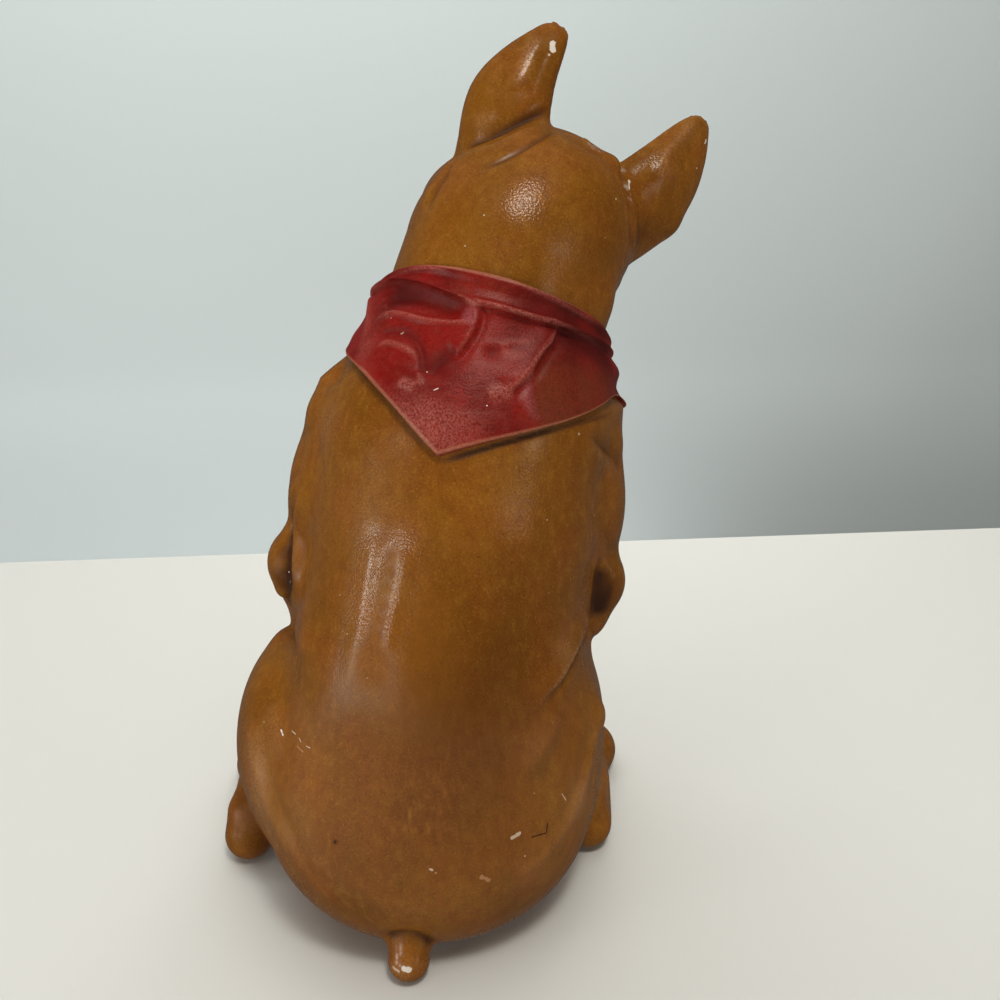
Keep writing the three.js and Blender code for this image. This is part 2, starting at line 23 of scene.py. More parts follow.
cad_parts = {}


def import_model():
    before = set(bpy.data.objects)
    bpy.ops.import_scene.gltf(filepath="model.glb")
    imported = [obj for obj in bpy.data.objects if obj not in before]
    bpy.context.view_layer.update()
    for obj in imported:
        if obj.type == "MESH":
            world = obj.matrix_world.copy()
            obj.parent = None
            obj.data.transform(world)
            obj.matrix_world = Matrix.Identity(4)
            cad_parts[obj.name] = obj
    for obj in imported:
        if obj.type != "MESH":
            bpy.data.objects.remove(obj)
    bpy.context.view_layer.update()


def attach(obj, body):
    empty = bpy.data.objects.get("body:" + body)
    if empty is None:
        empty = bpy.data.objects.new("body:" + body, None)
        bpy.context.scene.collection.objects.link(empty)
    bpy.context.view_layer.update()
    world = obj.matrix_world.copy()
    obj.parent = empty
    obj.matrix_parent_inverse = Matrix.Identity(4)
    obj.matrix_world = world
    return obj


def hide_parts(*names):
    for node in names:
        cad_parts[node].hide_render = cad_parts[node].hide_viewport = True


LOG = logging.getLogger("resin_dog")
NODE = "dog_figurine"
BODY = "root"
MM = 0.001
SIDES = (-1, 1)  # the dog's left, then its right
SHORTEST = 1e-6  # a shorter length counts as none

Place = tuple[float, float, float]
Pixel = tuple[float, float]
Shade = tuple[int, int, int]  # red, green and blue display values of 0 to 255
Points = np.ndarray
Stain = tuple[float, float, float, float]  # the pixel, radius and amount of a stain
EVEN: Place = (1, 1, 1)

LEAN_START = 38.0  # height from which the trunk sways to the dog's right
LEAN = 0.19  # millimetres of sway for each millimetre above that
GIRDLE_TILT = 0.108  # drop of the shoulders on that side for each millimetre of width


def sway(height: float) -> float:
    """How far the mid line of the trunk is moved to the dog's right at `height`."""
    return LEAN * max(height - LEAN_START, 0.0)


def lengths_of(vectors: Points) -> np.ndarray:
    """The length of each row of `vectors`."""
    return np.sqrt(np.einsum("ij,ij->i", vectors, vectors))


def joined(a: np.ndarray, b: np.ndarray, fillet: float) -> np.ndarray:
    """Joins two distances with a fillet between them.

    Args:
        a: Distances to one shape.
        b: Distances to the other.
        fillet: About how wide the fillet is.

    Returns:
        Distances to the two shapes as one.
    """
    near = np.maximum(fillet - np.abs(a - b), 0.0) / fillet
    return np.minimum(a, b) - near * near * fillet / 4


def cut(a: np.ndarray, b: np.ndarray, rounding: float) -> np.ndarray:
    """Keeps what lies in both shapes, with the edge rounded.

    Args:
        a: Distances to one shape.
        b: Distances to the other.
        rounding: About how wide the rounded edge is.

    Returns:
        Distances to what the two shapes share.
    """
    return -joined(-a, -b, rounding)


def curve_through(stops: Sequence[Sequence[float]], per_span: int = 8) -> Points:
    """A smooth curve through the stops.

    Args:
        stops: Points of any dimension, in order.
        per_span: Points of the curve for each span between two stops.

    Returns:
        The points of the curve, the first and last stop among them.
    """
    knots = np.array([stops[0], *stops, stops[-1]], float)
    curve = []
    for p0, p1, p2, p3 in zip(knots, knots[1:], knots[2:], knots[3:]):
        for t in np.arange(per_span) / per_span:
            near, far = (p2 - p0) / 2, (p3 - p1) / 2
            curve.append(
                (2 * t**3 - 3 * t**2 + 1) * p1
                + (t**3 - 2 * t**2 + t) * near
                + (3 * t**2 - 2 * t**3) * p2
                + (t**3 - t**2) * far
            )
    return np.array([*curve, knots[-1]])


def mesh_of(form: bmesh.types.BMesh, name: str) -> bpy.types.Mesh:
    """A mesh of the form, which is used up."""
    mesh = bpy.data.meshes.new(name)
    form.to_mesh(mesh)
    form.free()
    return mesh


def loft(form: bmesh.types.BMesh, rings: Sequence[Points]) -> None:
    """Adds a tube with flat ends.

    Args:
        form: The shape that the tube is added to.
        rings: The tube's rings from one end to the other, with equally many points.
    """
    first = loop = list(bmesh.ops.create_circle(form, segments=len(rings[0]), radius=1.0)["verts"])
    for i, ring in enumerate(rings):
        if i > 0:
            edges = [form.edges.get(ends) for ends in zip(loop, loop[1:] + loop[:1])]
            made = set(bmesh.ops.extrude_edge_only(form, edges=edges)["geom"])
            loop = [next(v for e in w.link_edges for v in e.verts if v in made) for w in loop]
        for vert, place in zip(loop, ring):
            vert.co = Vector(place)
    for end in (first, loop):
        bmesh.ops.contextual_create(form, geom=end)


class Profile:
    """A smooth value along a line, given by stops."""

    def __init__(self, *stops: Pixel) -> None:
        """Keeps the curve through the (place, value) stops, which are in order of place."""
        self.table = curve_through(stops, 16)

    def __call__(self, place: np.ndarray) -> np.ndarray:
        """The value at `place`."""
        return np.interp(place, self.table[:, 0], self.table[:, 1])


@dataclass(frozen=True)
class Ball:
    """An ellipsoid of clay: its middle, half sizes, fillet to what is there already, and turn."""

    at: Place
    half: Place
    fillet: float
    turn: Matrix = field(default_factory=lambda: Matrix.Identity(3))

    def box(self) -> tuple[np.ndarray, np.ndarray]:
        """The lowest and the highest corner of the box round the lump."""
        reach = np.abs(np.array(self.turn)) @ np.array(self.half)
        return np.array(self.at) - reach, np.array(self.at) + reach

    def distance(self, points: Points) -> np.ndarray:
        """About how far each point is from the skin of the lump, below zero inside it."""
        half = np.array(self.half)
        unit = (points - np.array(self.at)) @ np.array(self.turn) / half
        reach = lengths_of(unit)
        return reach * (reach - 1.0) / np.maximum(lengths_of(unit / half), 1e-9)

    def press(self, clay: bmesh.types.BMesh) -> None:
        """Adds the lump to the rough shape."""
        place = Matrix.Translation(self.at) @ self.turn.to_4x4() @ Matrix.Diagonal((*self.half, 1))
        bmesh.ops.create_icosphere(clay, subdivisions=3, radius=1.0, matrix=place)


@dataclass(frozen=True)
class Limb:
    """A tapered limb of clay with round ends."""

    start: Place
    end: Place
    radii: Pixel
    fillet: float

    def box(self) -> tuple[np.ndarray, np.ndarray]:
        """The lowest and the highest corner of the box round the limb."""
        ends, reach = np.array((self.start, self.end)), max(self.radii)
        return ends.min(axis=0) - reach, ends.max(axis=0) + reach

    def distance(self, points: Points) -> np.ndarray:
        """How far each point is from the skin of the limb, below zero inside it."""
        axis = np.array(self.end) - np.array(self.start)
        length = float(np.linalg.norm(axis))
        slope = (self.radii[0] - self.radii[1]) / length
        reach = points - np.array(self.start)
        along = reach @ axis / length
        off = np.sqrt(np.maximum(np.einsum("ij,ij->i", reach, reach) - along**2, 0.0))
        t = np.clip((along + off * slope / math.sqrt(max(1 - slope**2, 1e-9))) / length, 0.0, 1.0)
        radius = self.radii[0] + (self.radii[1] - self.radii[0]) * t
        return np.hypot(off, along - t * length) - radius

    def press(self, clay: bmesh.types.BMesh) -> None:
        """Adds the limb to the rough shape."""
        start, end = Vector(self.start), Vector(self.end)
        turn = (end - start).to_track_quat("Z", "Y").to_matrix().to_4x4()
        bmesh.ops.create_cone(
            clay, cap_ends=True, segments=24, radius1=self.radii[0], radius2=self.radii[1],
            depth=(end - start).length, matrix=Matrix.Translation((start + end) / 2) @ turn,
        )
        for end_at, radius in zip((start, end), self.radii):
            place = Matrix.Translation(end_at)
            bmesh.ops.create_icosphere(clay, subdivisions=3, radius=radius, matrix=place)


@dataclass
class Head:
    """The head: how it is held, its lumps and its face."""

    centre: Place = (73.0, 40.0, 309.0)
    skull_half_width: float = 43.0
    turn_left: float = 15.0
    nod: float = -6.0
    cock: float = 28.5  # crown towards the dog's right

    @property
    def axes(self) -> Matrix:
        """The directions right, forward and up of the head, as columns."""
        turned = Matrix.Rotation(math.radians(self.turn_left), 3, "Z")
        nodded = Matrix.Rotation(math.radians(self.nod), 3, "X")
        return turned @ nodded @ Matrix.Rotation(math.radians(self.cock), 3, "Y")

    def place(self, right: float, forward: float, up: float) -> Place:
        """The place right, forward and up of the middle of the skull, along the axes of the head."""
        return tuple(Vector(self.centre) + self.axes @ Vector((right, forward, up)))

    def to_local(self, points: Points) -> Points:
        """How far right, forward and up of the middle of the skull each point is."""
        return (points - np.array(self.centre)) @ np.array(self.axes)

    def ball(self, at: Place, half: Place, fillet: float) -> Ball:
        """A lump that lies along the axes of the head."""
        return Ball(self.place(*at), half, fillet, self.axes)

    def pair(self, at: Place, half: Place, fillet: float) -> list[Ball]:
        """The same lump on both sides of the head."""
        return [self.ball((side * at[0], at[1], at[2]), half, fillet) for side in SIDES]

    def lumps(self) -> list[Ball]:
        """Every lump of the head but the ears, in the order in which it is pressed on."""
        return [
            self.ball((0, 0, 0), (self.skull_half_width, 44, 34), 16),
            self.ball((0, 50, -16), (23, 26, 19), 10),
            *self.pair((36, 17, -13), (16, 21, 19), 8),
            *self.pair((13, 55, -22), (13, 21, 15), 4),
            *self.pair((16, 31, 12), (12, 10, 9), 6),
            *self.pair((31, -4, 18), (16, 11, 16), 8),
            self.ball((0, 54, -34), (13, 16, 8), 4),
            self.ball((0, 74, -7), (10, 7, 8), 3),
            *self.pair(EYE_AT, (EYE_RADIUS,) * 3, 1.2),
        ]


EYE_AT: Place = (17.5, 37.0, 3.0)
EYE_RADIUS = 5.5
LIP = ((2, 80, -14), (3, 79, -22), (8, 75, -27), (14, 66, -28), (19, 54, -26), (23, 43, -20))
UPPER_LID = ((25, 36, 4), (21, 41, 8.5), (16, 43, 8.5), (11, 42, 4.5))
LOWER_LID = ((25, 36, 2), (21, 42, -2), (16, 44, -2.5), (11, 43, 1))


@dataclass(frozen=True)
class Ear:
    """A cropped ear: a blade along a bowed centre line, round behind and cupped in front."""

    head: Head
    side: int
    length: float
    flare: float  # how far out the tip is from the root
    bow: float  # how far the centre line bows out on the way
    twist: float  # turn about its own length, in radians
    half_width: Profile
    root: Place = (31.0, -6.0, 10.0)
    cup: float = 7.0
    rim: float = 3.0
    back: float = 0.62  # roundness of the back, as a share of the half width
    edge: float = 2.4  # radius of the rim
    fillet: float = 3.0
    buried: float = 0.35  # how far it goes on under its root, as a share of the length
    rim_rounding: float = 1.5
    least_half: float = 0.4  # of the width and the thickness, inside the rim

    def centre(self, t: np.ndarray) -> np.ndarray:
        """How far right of the skull's middle the centre line is at the share `t` of the length."""
        swell = np.sin(np.pi * np.clip(t, 0, 1)) ** 1.2
        return self.side * (self.root[0] + self.flare * t + self.bow * swell)

    def hollow(self, t: np.ndarray, across: np.ndarray) -> np.ndarray:
        """How far forward the front of the blade is, `across` being -1 to 1 over its width."""
        cup = self.cup * np.sqrt(np.clip(t, 0, 1)) * np.clip(1.6 * (1 - t), 0, 1)
        hump = np.sqrt(np.clip(1 - across**2, 0, 1))
        return self.rim * hump - cup * hump**3

    def box(self) -> tuple[np.ndarray, np.ndarray]:
        """The lowest and the highest corner of the box round the ear."""
        line = np.array([
            self.head.place(float(self.centre(t)), self.root[1], self.root[2] + self.length * t)
            for t in np.linspace(-self.buried, 1.0, 8)
        ])
        reach = float(self.half_width.table[:, 1].max())
        return line.min(axis=0) - reach, line.max(axis=0) + reach

    def distance(self, points: Points) -> np.ndarray:
        """Measures points from the skin of the ear.

        Args:
            points: The points.

        Returns:
            About how far each one is from it, below zero inside it.
        """
        right, forward, up = self.head.to_local(points).T
        share = (up - self.root[2]) / self.length
        t = np.clip(share, -self.buried, 1.0)
        over = (share - t) * self.length
        sideways, ahead = right - self.centre(t), forward - self.root[1]
        cosine, sine = math.cos(self.twist), math.sin(self.twist)
        across = sideways * cosine + ahead * sine
        depth = ahead * cosine - sideways * sine
        width = self.half_width(t)
        a = np.maximum(width - self.edge, self.least_half)
        b = np.maximum(self.back * width - self.edge, self.least_half)
        reach = np.hypot(across / a, depth / b)
        shell = reach * (reach - 1) / np.maximum(np.hypot(across / a**2, depth / b**2), 1e-9)
        front = depth - (self.hollow(t, across / width) - self.edge)
        section = cut(shell, front, self.rim_rounding)
        return np.where(over == 0, section, np.hypot(np.maximum(section, 0), over)) - self.edge

    def press(self, clay: bmesh.types.BMesh) -> None:
        """Adds the ear to the rough shape, ring by ring."""
        turns = np.linspace(0, 2 * np.pi, 20, endpoint=False)
        across, hump = np.cos(turns), np.sin(turns)
        cosine, sine = math.cos(self.twist), math.sin(self.twist)
        rings = []
        for t in np.linspace(-self.buried, 1.0, 12):
            width = float(self.half_width(t))
            depth = np.where(hump > 0, self.hollow(t, across), self.back * width * hump)
            right = self.centre(t) + width * across * cosine - depth * sine
            ahead = self.root[1] + width * across * sine + depth * cosine
            up = self.root[2] + self.length * t
            rings.append([self.head.place(r, a, up) for r, a in zip(right, ahead)])
        loft(clay, rings)


def trunk_lumps() -> list[Ball | Limb]:
    """The seat, back, breast and belly, from the seat up."""
    forms = (
        (6, -36, 56, (77, 70, 68), 1),  # rump
        (1, -18, 118, (67, 66, 66), 24),  # loins
        (0, -1, 179, (66, 69, 62), 24),  # ribs
        (0, -5, 220, (62, 46, 38), 20),  # withers
        (0, 44, 192, (38, 37, 48), 26),  # breast
    )
    balls = [
        Ball((sway(up) + right, forward, up), half, fillet)
        for right, forward, up, half, fillet in forms
    ]
    return [*balls, Limb((sway(150), 34, 150), (sway(35), 14, 35), (40, 38), 20)]


def toe_lumps(out: float, forward: float) -> list[Ball]:
    """Three toes in front of a paw.

    Args:
        out: Where the middle of the paw is along X.
        forward: Where it is along Y.

    Returns:
        The toes, from left to right.
    """
    pitch, set_back = 9.5, 2.5
    return [
        Ball((out + step * pitch, forward + 18 - set_back * abs(step), 6.4), (5.6, 9, 6.4), 1.6)
        for step in (-1, 0, 1)
    ]


def leg_lumps(side: int) -> list[Ball | Limb]:
    """The hind leg and the foreleg of one side.

    Args:
        side: -1 for the dog's left and 1 for its right.

    Returns:
        The lumps of both legs with their toes.
    """
    shift = 2.0  # the forepaws stand a little to the dog's right
    thigh = {-1: (60, 66, 51), 1: (58, 70, 55)}[side]  # out, height and half height

    def beside(out: float, forward: float, up: float, moved: float = 0.0) -> Place:
        """A place out from the mid line on this side."""
        return (side * out + moved, forward, up)

    def on_girdle(out: float, forward: float, up: float) -> Place:
        """A place on the shoulder girdle, which leans with the trunk and tilts."""
        return (side * out + sway(up), forward, up - side * GIRDLE_TILT * out)

    return [
        Ball(beside(thigh[0], -4, thigh[1], sway(thigh[1])), (30, 54, thigh[2]), 12),
        Ball(beside(61, 42, 64, sway(64)), (18, 24, 28), 14),
        Limb(beside(66, 36, 46), beside(83, -8, 24), (18, 13), 8),
        Limb(beside(85.5, -11, 12.5), beside(90, 50, 13), (12.5, 13), 5),
        Ball(beside(91, 58, 11), (17, 21, 13.5), 6),
        Limb(on_girdle(42, 12, 210), on_girdle(66, 2, 148), (35, 14), 9),
        Ball(on_girdle(56, 6, 185), (20, 24, 30), 12),
        Limb(on_girdle(66, 2, 148), beside(34, 62, 42, shift), (18, 13), 8),
        Ball(beside(31, 72, 14, shift), (18, 25, 15.5), 9),
        *toe_lumps(side * 91, 58),
        *toe_lumps(side * 31 + shift, 72),
    ]


EACH_AXIS = np.ones(3, np.int8)  # times this, the flags of a row are added up


class Clay:
    """All the lumps as one blended shape."""

    FAR = 1000.0
    MARGIN = 14.0  # how far round a lump its distance still counts, past its fillet

    def __init__(self, lumps: Iterable[Ball | Limb | Ear]) -> None:
        """Keeps the lumps in the order in which they are pressed on."""
        self.lumps = [(lump, *lump.box()) for lump in lumps]

    def distance(self, points: Points) -> np.ndarray:
        """About how far each point is from the skin, below zero inside, where it is near a lump."""
        total = np.full(len(points), self.FAR)
        for lump, low, high in self.lumps:
            margin = lump.fillet + self.MARGIN
            inside = np.abs(points - (low + high) / 2) < (high - low) / 2 + margin
            near = np.nonzero(inside @ EACH_AXIS == 3)[0]
            total[near] = joined(total[near], lump.distance(points[near]), lump.fillet)
        return total


def settled(points: Points, shape: Callable[[Points], np.ndarray], rounds: int = 3) -> Points:
    """Moves points along the slope of a distance until they lie on its skin.

    Args:
        points: The points.
        shape: Gives the distance of points to the skin.
        rounds: How often each point is moved.

    Returns:
        The moved points.
    """
    probe, longest_move, least_slope = 0.3, 2.5, 0.5
    corners = np.array([(1, -1, -1), (-1, -1, 1), (-1, 1, -1), (1, 1, 1)], float)
    for _ in range(rounds):
        readings = np.stack([shape(points + probe * corner) for corner in corners], axis=1)
        slope = readings @ corners / (4 * probe)
        move = np.clip(readings.mean(axis=1), -longest_move, longest_move)
        steep = np.maximum(np.einsum("ij,ij->i", slope, slope), least_slope**2)
        points = points - (move / steep)[:, None] * slope
    return points


def evaluated(mesh: bpy.types.Mesh, modifier: str, **settings: object) -> bpy.types.Mesh:
    """Runs one modifier on a mesh.

    Args:
        mesh: The mesh, which is used up.
        modifier: Blender's name of the modifier's type.
        settings: The modifier's settings.

    Returns:
        The new mesh.
    """
    holder = bpy.data.objects.new("in_work", mesh)
    bpy.context.scene.collection.objects.link(holder)
    added = holder.modifiers.new("step", modifier)
    for name, value in settings.items():
        setattr(added, name, value)
    done = holder.evaluated_get(bpy.context.evaluated_depsgraph_get())
    fresh = bpy.data.meshes.new_from_object(done)
    bpy.data.objects.remove(holder)
    bpy.data.meshes.remove(mesh)
    return fresh


class Tool(Enum):
    """What a stroke leaves behind."""

    RIDGE = "a soft ridge"
    CREASE = "a sharp crease"
    FOLD = "a fold that falls away to the right of the stroke"


RIDGE, CREASE, FOLD = Tool


@dataclass(frozen=True)
class PhotoCamera:
    """The camera that the photograph was taken with, in millimetres and degrees."""

    place: Place = (47.0, -436.0, 336.0)
    down: float = 19.3
    roll: float = 2.0
    focal: float = 1000.0  # in pixels of a picture 1000 pixels wide
    middle: float = 500.0

    def axes(self) -> tuple[Vector, Vector, Vector]:
        """The directions right and up in the picture, and the direction of view."""
        down, roll = math.radians(self.down), math.radians(self.roll)
        ahead = Vector((0, math.cos(down), -math.sin(down)))
        level, rise = Vector((1, 0, 0)), Vector((0, math.sin(down), math.cos(down)))
        right = level * math.cos(roll) - rise * math.sin(roll)
        up = level * math.sin(roll) + rise * math.cos(roll)
        return right, up, ahead

    def ray(self, pixel: Pixel) -> Vector:
        """The direction in which a pixel looks."""
        right, up, ahead = self.axes()
        x, y = (pixel[0] - self.middle) / self.focal, (pixel[1] - self.middle) / self.focal
        return (right * x - up * y + ahead).normalized()

    def build(self) -> bpy.types.Object:
        """Makes the scene's camera.

        Returns:
            The camera.
        """
        data = bpy.data.cameras.new("camera")
        data.sensor_width = 36.0
        data.lens = data.sensor_width * self.focal / (2 * self.middle)
        camera = bpy.data.objects.new("camera", data)
        bpy.context.scene.collection.objects.link(camera)
        right, up, ahead = self.axes()
        turn = Matrix((right, up, -ahead)).transposed().to_4x4()
        camera.matrix_world = Matrix.Translation(Vector(self.place) * MM) @ turn
        bpy.context.scene.camera = camera
        return camera


CAMERA = PhotoCamera()


@dataclass(frozen=True)
class Stroke:
    """One pull of a modelling tool along a path on the skin.

    The path is in pixels of the photograph where its points have two numbers, and otherwise in
    millimetres. `grime_and_shade` is how much it darkens the paint, as soiling and painted shade,
    and `rub_and_highlight` how much it pales it, as wear and painted highlight.
    """

    tool: Tool
    path: tuple[tuple[float, ...], ...]
    width: float
    depth: float
    grime_and_shade: float = 0.0
    rub_and_highlight: float = 0.0
    spread: float = 1.5  # width of the darkening and paling, as a share of the stroke's

    def section(self, off: np.ndarray, left: np.ndarray) -> np.ndarray:
        """The form that the tool leaves across its path.

        Args:
            off: Distances from the path, in widths.
            left: Whether they are to its left.

        Returns:
            Heights in shares of the depth.
        """
        if self.tool is RIDGE:
            return np.exp(-(off**2))
        if self.tool is CREASE:
            sharpness = 1.3
            return -np.exp(-(off**sharpness) * sharpness)
        slope_width, brink_width = 2.6, 0.6
        gutter_depth, gutter_at, gutter_width = 0.35, 1.5, 0.8
        gutter = gutter_depth * np.exp(-(((off - gutter_at) / gutter_width) ** 2))
        under = np.exp(-((off / brink_width) ** 2)) - gutter
        return np.where(left, np.exp(-((off / slope_width) ** 2)), under)


@dataclass(frozen=True)
class Dab:
    """A soft bump, dent or stain round a pixel of the photograph or a place in millimetres."""

    spot: tuple[float, ...]
    radius: float
    rise: float = 0.0
    stain: str = ""
    amount: float = 0.5


class Sculpture:
    """A mesh whose points are worked as clay is."""

    REACH = 4.0  # how far a stroke is felt, in widths
    TAPER = 0.22  # share of a stroke over which it begins and ends
    TAPERED = 0.1  # strength that is left at its ends

    def __init__(self, name: str, mesh: bpy.types.Mesh) -> None:
        """Takes a mesh in millimetres over."""
        self.name = name
        self.paint: dict[str, np.ndarray] = {}
        self.take(mesh)

    def take(self, mesh: bpy.types.Mesh) -> None:
        """Starts afresh on another mesh."""
        self.mesh = mesh
        flat = np.empty(3 * len(mesh.vertices))
        mesh.vertices.foreach_get("co", flat)
        self.points = flat.reshape(-1, 3)
        pairs = np.empty(2 * len(mesh.edges), np.int64)
        mesh.edges.foreach_get("vertices", pairs)
        self.pairs = pairs.reshape(-1, 2)
        self.links = np.bincount(pairs, minlength=len(self.points))

    def put(self) -> None:
        """Writes the points back to the mesh."""
        self.mesh.vertices.foreach_set("co", self.points.ravel())
        self.mesh.update()

    def evened(self, voxel: float) -> None:
        """Covers the outer skin with even quads of about the size `voxel`."""
        self.put()
        self.take(evaluated(self.mesh, "REMESH", mode="VOXEL", voxel_size=voxel))

    def divided(self) -> None:
        """Divides each quad in four."""
        self.put()
        self.take(evaluated(self.mesh, "SUBSURF", levels=1, render_levels=1))

    def neighbours_mean(self, values: np.ndarray) -> np.ndarray:
        """The mean of `values` over the neighbours of each point."""
        first, second = self.pairs.T
        total = np.empty_like(values)
        for column in range(values.shape[1]):
            source = values[:, column]
            total[:, column] = np.bincount(first, source[second], len(values))
            total[:, column] += np.bincount(second, source[first], len(values))
        return total / self.links[:, None]

    def smoothed(self, values: np.ndarray, rounds: int) -> np.ndarray:
        """`values` after `rounds` of smoothing between neighbours."""
        for _ in range(rounds):
            values = (values + self.neighbours_mean(values)) / 2
        return values

    def settle(self, shape: Callable[[Points], np.ndarray], relaxing: int = 2) -> None:
        """Spaces the points evenly and lays them on the skin of `shape`."""
        self.points = settled(self.points, shape)
        for _ in range(relaxing):
            self.points = settled(self.smoothed(self.points, 2), shape, 2)

    def normals(self) -> Points:
        """The direction out of the skin at each point."""
        self.put()
        flat = np.empty(3 * len(self.mesh.vertices))
        self.mesh.vertices.foreach_get("normal", flat)
        return flat.reshape(-1, 3)

    def tree(self) -> BVHTree:
        """The skin as a tree that rays can be cast at."""
        self.put()
        form = bmesh.new()
        form.from_mesh(self.mesh)
        tree = BVHTree.FromBMesh(form)
        form.free()
        return tree

    def add_paint(self, name: str, amount: np.ndarray, where: np.ndarray | slice = slice(None)) -> None:
        """Adds `amount` to the paint mask `name`, at the points `where`."""
        mask = self.paint.setdefault(name, np.zeros(len(self.points)))
        mask[where] += amount

    def work(self, strokes: Iterable[Stroke]) -> None:
        """Works the skin with each stroke in turn."""
        tree = self.tree()
        for stroke in strokes:
            path = self.laid(stroke.path, tree)
            if len(path) > 1:
                self.pull(stroke, path)

    @staticmethod
    def laid(path: Sequence[Sequence[float]], tree: BVHTree) -> Points:
        """Lays a path on the skin.

        Args:
            path: Pixels of the photograph or places in millimetres.
            tree: The skin.

        Returns:
            The places of the path on the skin.
        """
        found = []
        eye = Vector(CAMERA.place)
        for stop in curve_through(path, 6) if len(path) > 1 else path:
            if len(stop) == 2:
                hit = tree.ray_cast(eye, CAMERA.ray(stop))[0]
            else:
                hit = tree.find_nearest(Vector(stop))[0]
            if hit is not None:
                found.append(tuple(hit))
        return np.array(found)

    def pull(self, stroke: Stroke, path: Points) -> None:
        """Pulls a tool along `path`.

        Args:
            stroke: The tool, its width and depth, and what it does to the paint.
            path: The places of the path on the skin.
        """
        reach = stroke.width * self.REACH
        low, high = path.min(axis=0) - reach, path.max(axis=0) + reach
        where = np.nonzero(np.all((self.points > low) & (self.points < high), axis=1))[0]
        near = self.points[where]
        normals = self.normals()[where]
        off_best = np.full(len(where), np.inf)
        share, left = np.zeros(len(where)), np.zeros(len(where), bool)
        steps = lengths_of(np.diff(path, axis=0))
        begun = np.concatenate([[0], np.cumsum(steps)])
        for i, (a, b) in enumerate(zip(path, path[1:])):
            axis = b - a
            if steps[i] < SHORTEST:
                continue
            t = np.clip((near - a) @ axis / (axis @ axis), 0, 1)
            off = near - a - t[:, None] * axis
            distance = lengths_of(off)
            nearer = distance < off_best
            off_best[nearer] = distance[nearer]
            share[nearer] = (begun[i] + t[nearer] * steps[i]) / begun[-1]
            to_left = np.einsum("ij,ij->i", np.cross(normals[nearer], axis), off[nearer])
            left[nearer] = to_left > 0
        taper = np.clip(np.minimum(share, 1 - share) / self.TAPER, 0, 1)
        taper = taper * (2 - taper) * (1 - self.TAPERED) + self.TAPERED
        off = off_best / stroke.width
        form = stroke.section(off, left)
        self.points[where] += normals * (stroke.depth * form * taper)[:, None]
        # the stroke darkens the paint with soiling and painted shade, and pales it with wear and
        # painted highlight
        stain = np.exp(-((off / stroke.spread) ** 2)) * taper
        self.add_paint("grime_and_shade", stroke.grime_and_shade * stain, where)
        self.add_paint("rub_and_highlight", stroke.rub_and_highlight * stain, where)

    def dab(self, dabs: Iterable[Dab]) -> None:
        """Presses or stains the skin at each dab in turn."""
        tree = self.tree()
        for dab in dabs:
            spots = self.laid((dab.spot,), tree)
            if len(spots) == 0:
                continue
            off = lengths_of(self.points - spots[0]) / dab.radius
            if dab.rise != 0.0:
                self.points += self.normals() * (dab.rise * np.exp(-(off**2)))[:, None]
            if dab.stain:
                self.add_paint(dab.stain, dab.amount * np.exp(-(off**2)))

    def read_relief(self) -> None:
        """Notes for the paint where the skin is raised and where it is sunk."""
        calm = self.smoothed(self.points, 5)
        height = np.einsum("ij,ij->i", self.points - calm, self.normals())
        self.paint["fine"] = self.smoothed(height[:, None], 2)[:, 0]

    def finished(self, finish: bpy.types.Material, slot: str) -> bpy.types.Object:
        """Makes the piece for the scene, in metres.

        Args:
            finish: Its material.
            slot: Not used.

        Returns:
            The piece.
        """
        self.points = self.points * MM
        self.put()
        for name, values in self.paint.items():
            layer = self.mesh.attributes.new(name, "FLOAT", "POINT")
            layer.data.foreach_set("value", values.astype(np.float32))
        self.mesh.name = self.name
        self.mesh.materials.clear()
        self.mesh.materials.append(finish)
        self.mesh.shade_smooth()
        piece = bpy.data.objects.new(self.name, self.mesh)
        bpy.context.scene.collection.objects.link(piece)
        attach(piece, BODY)
        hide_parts(NODE)
        LOG.info("%s: %d faces", self.name, len(self.mesh.polygons))
        return piece


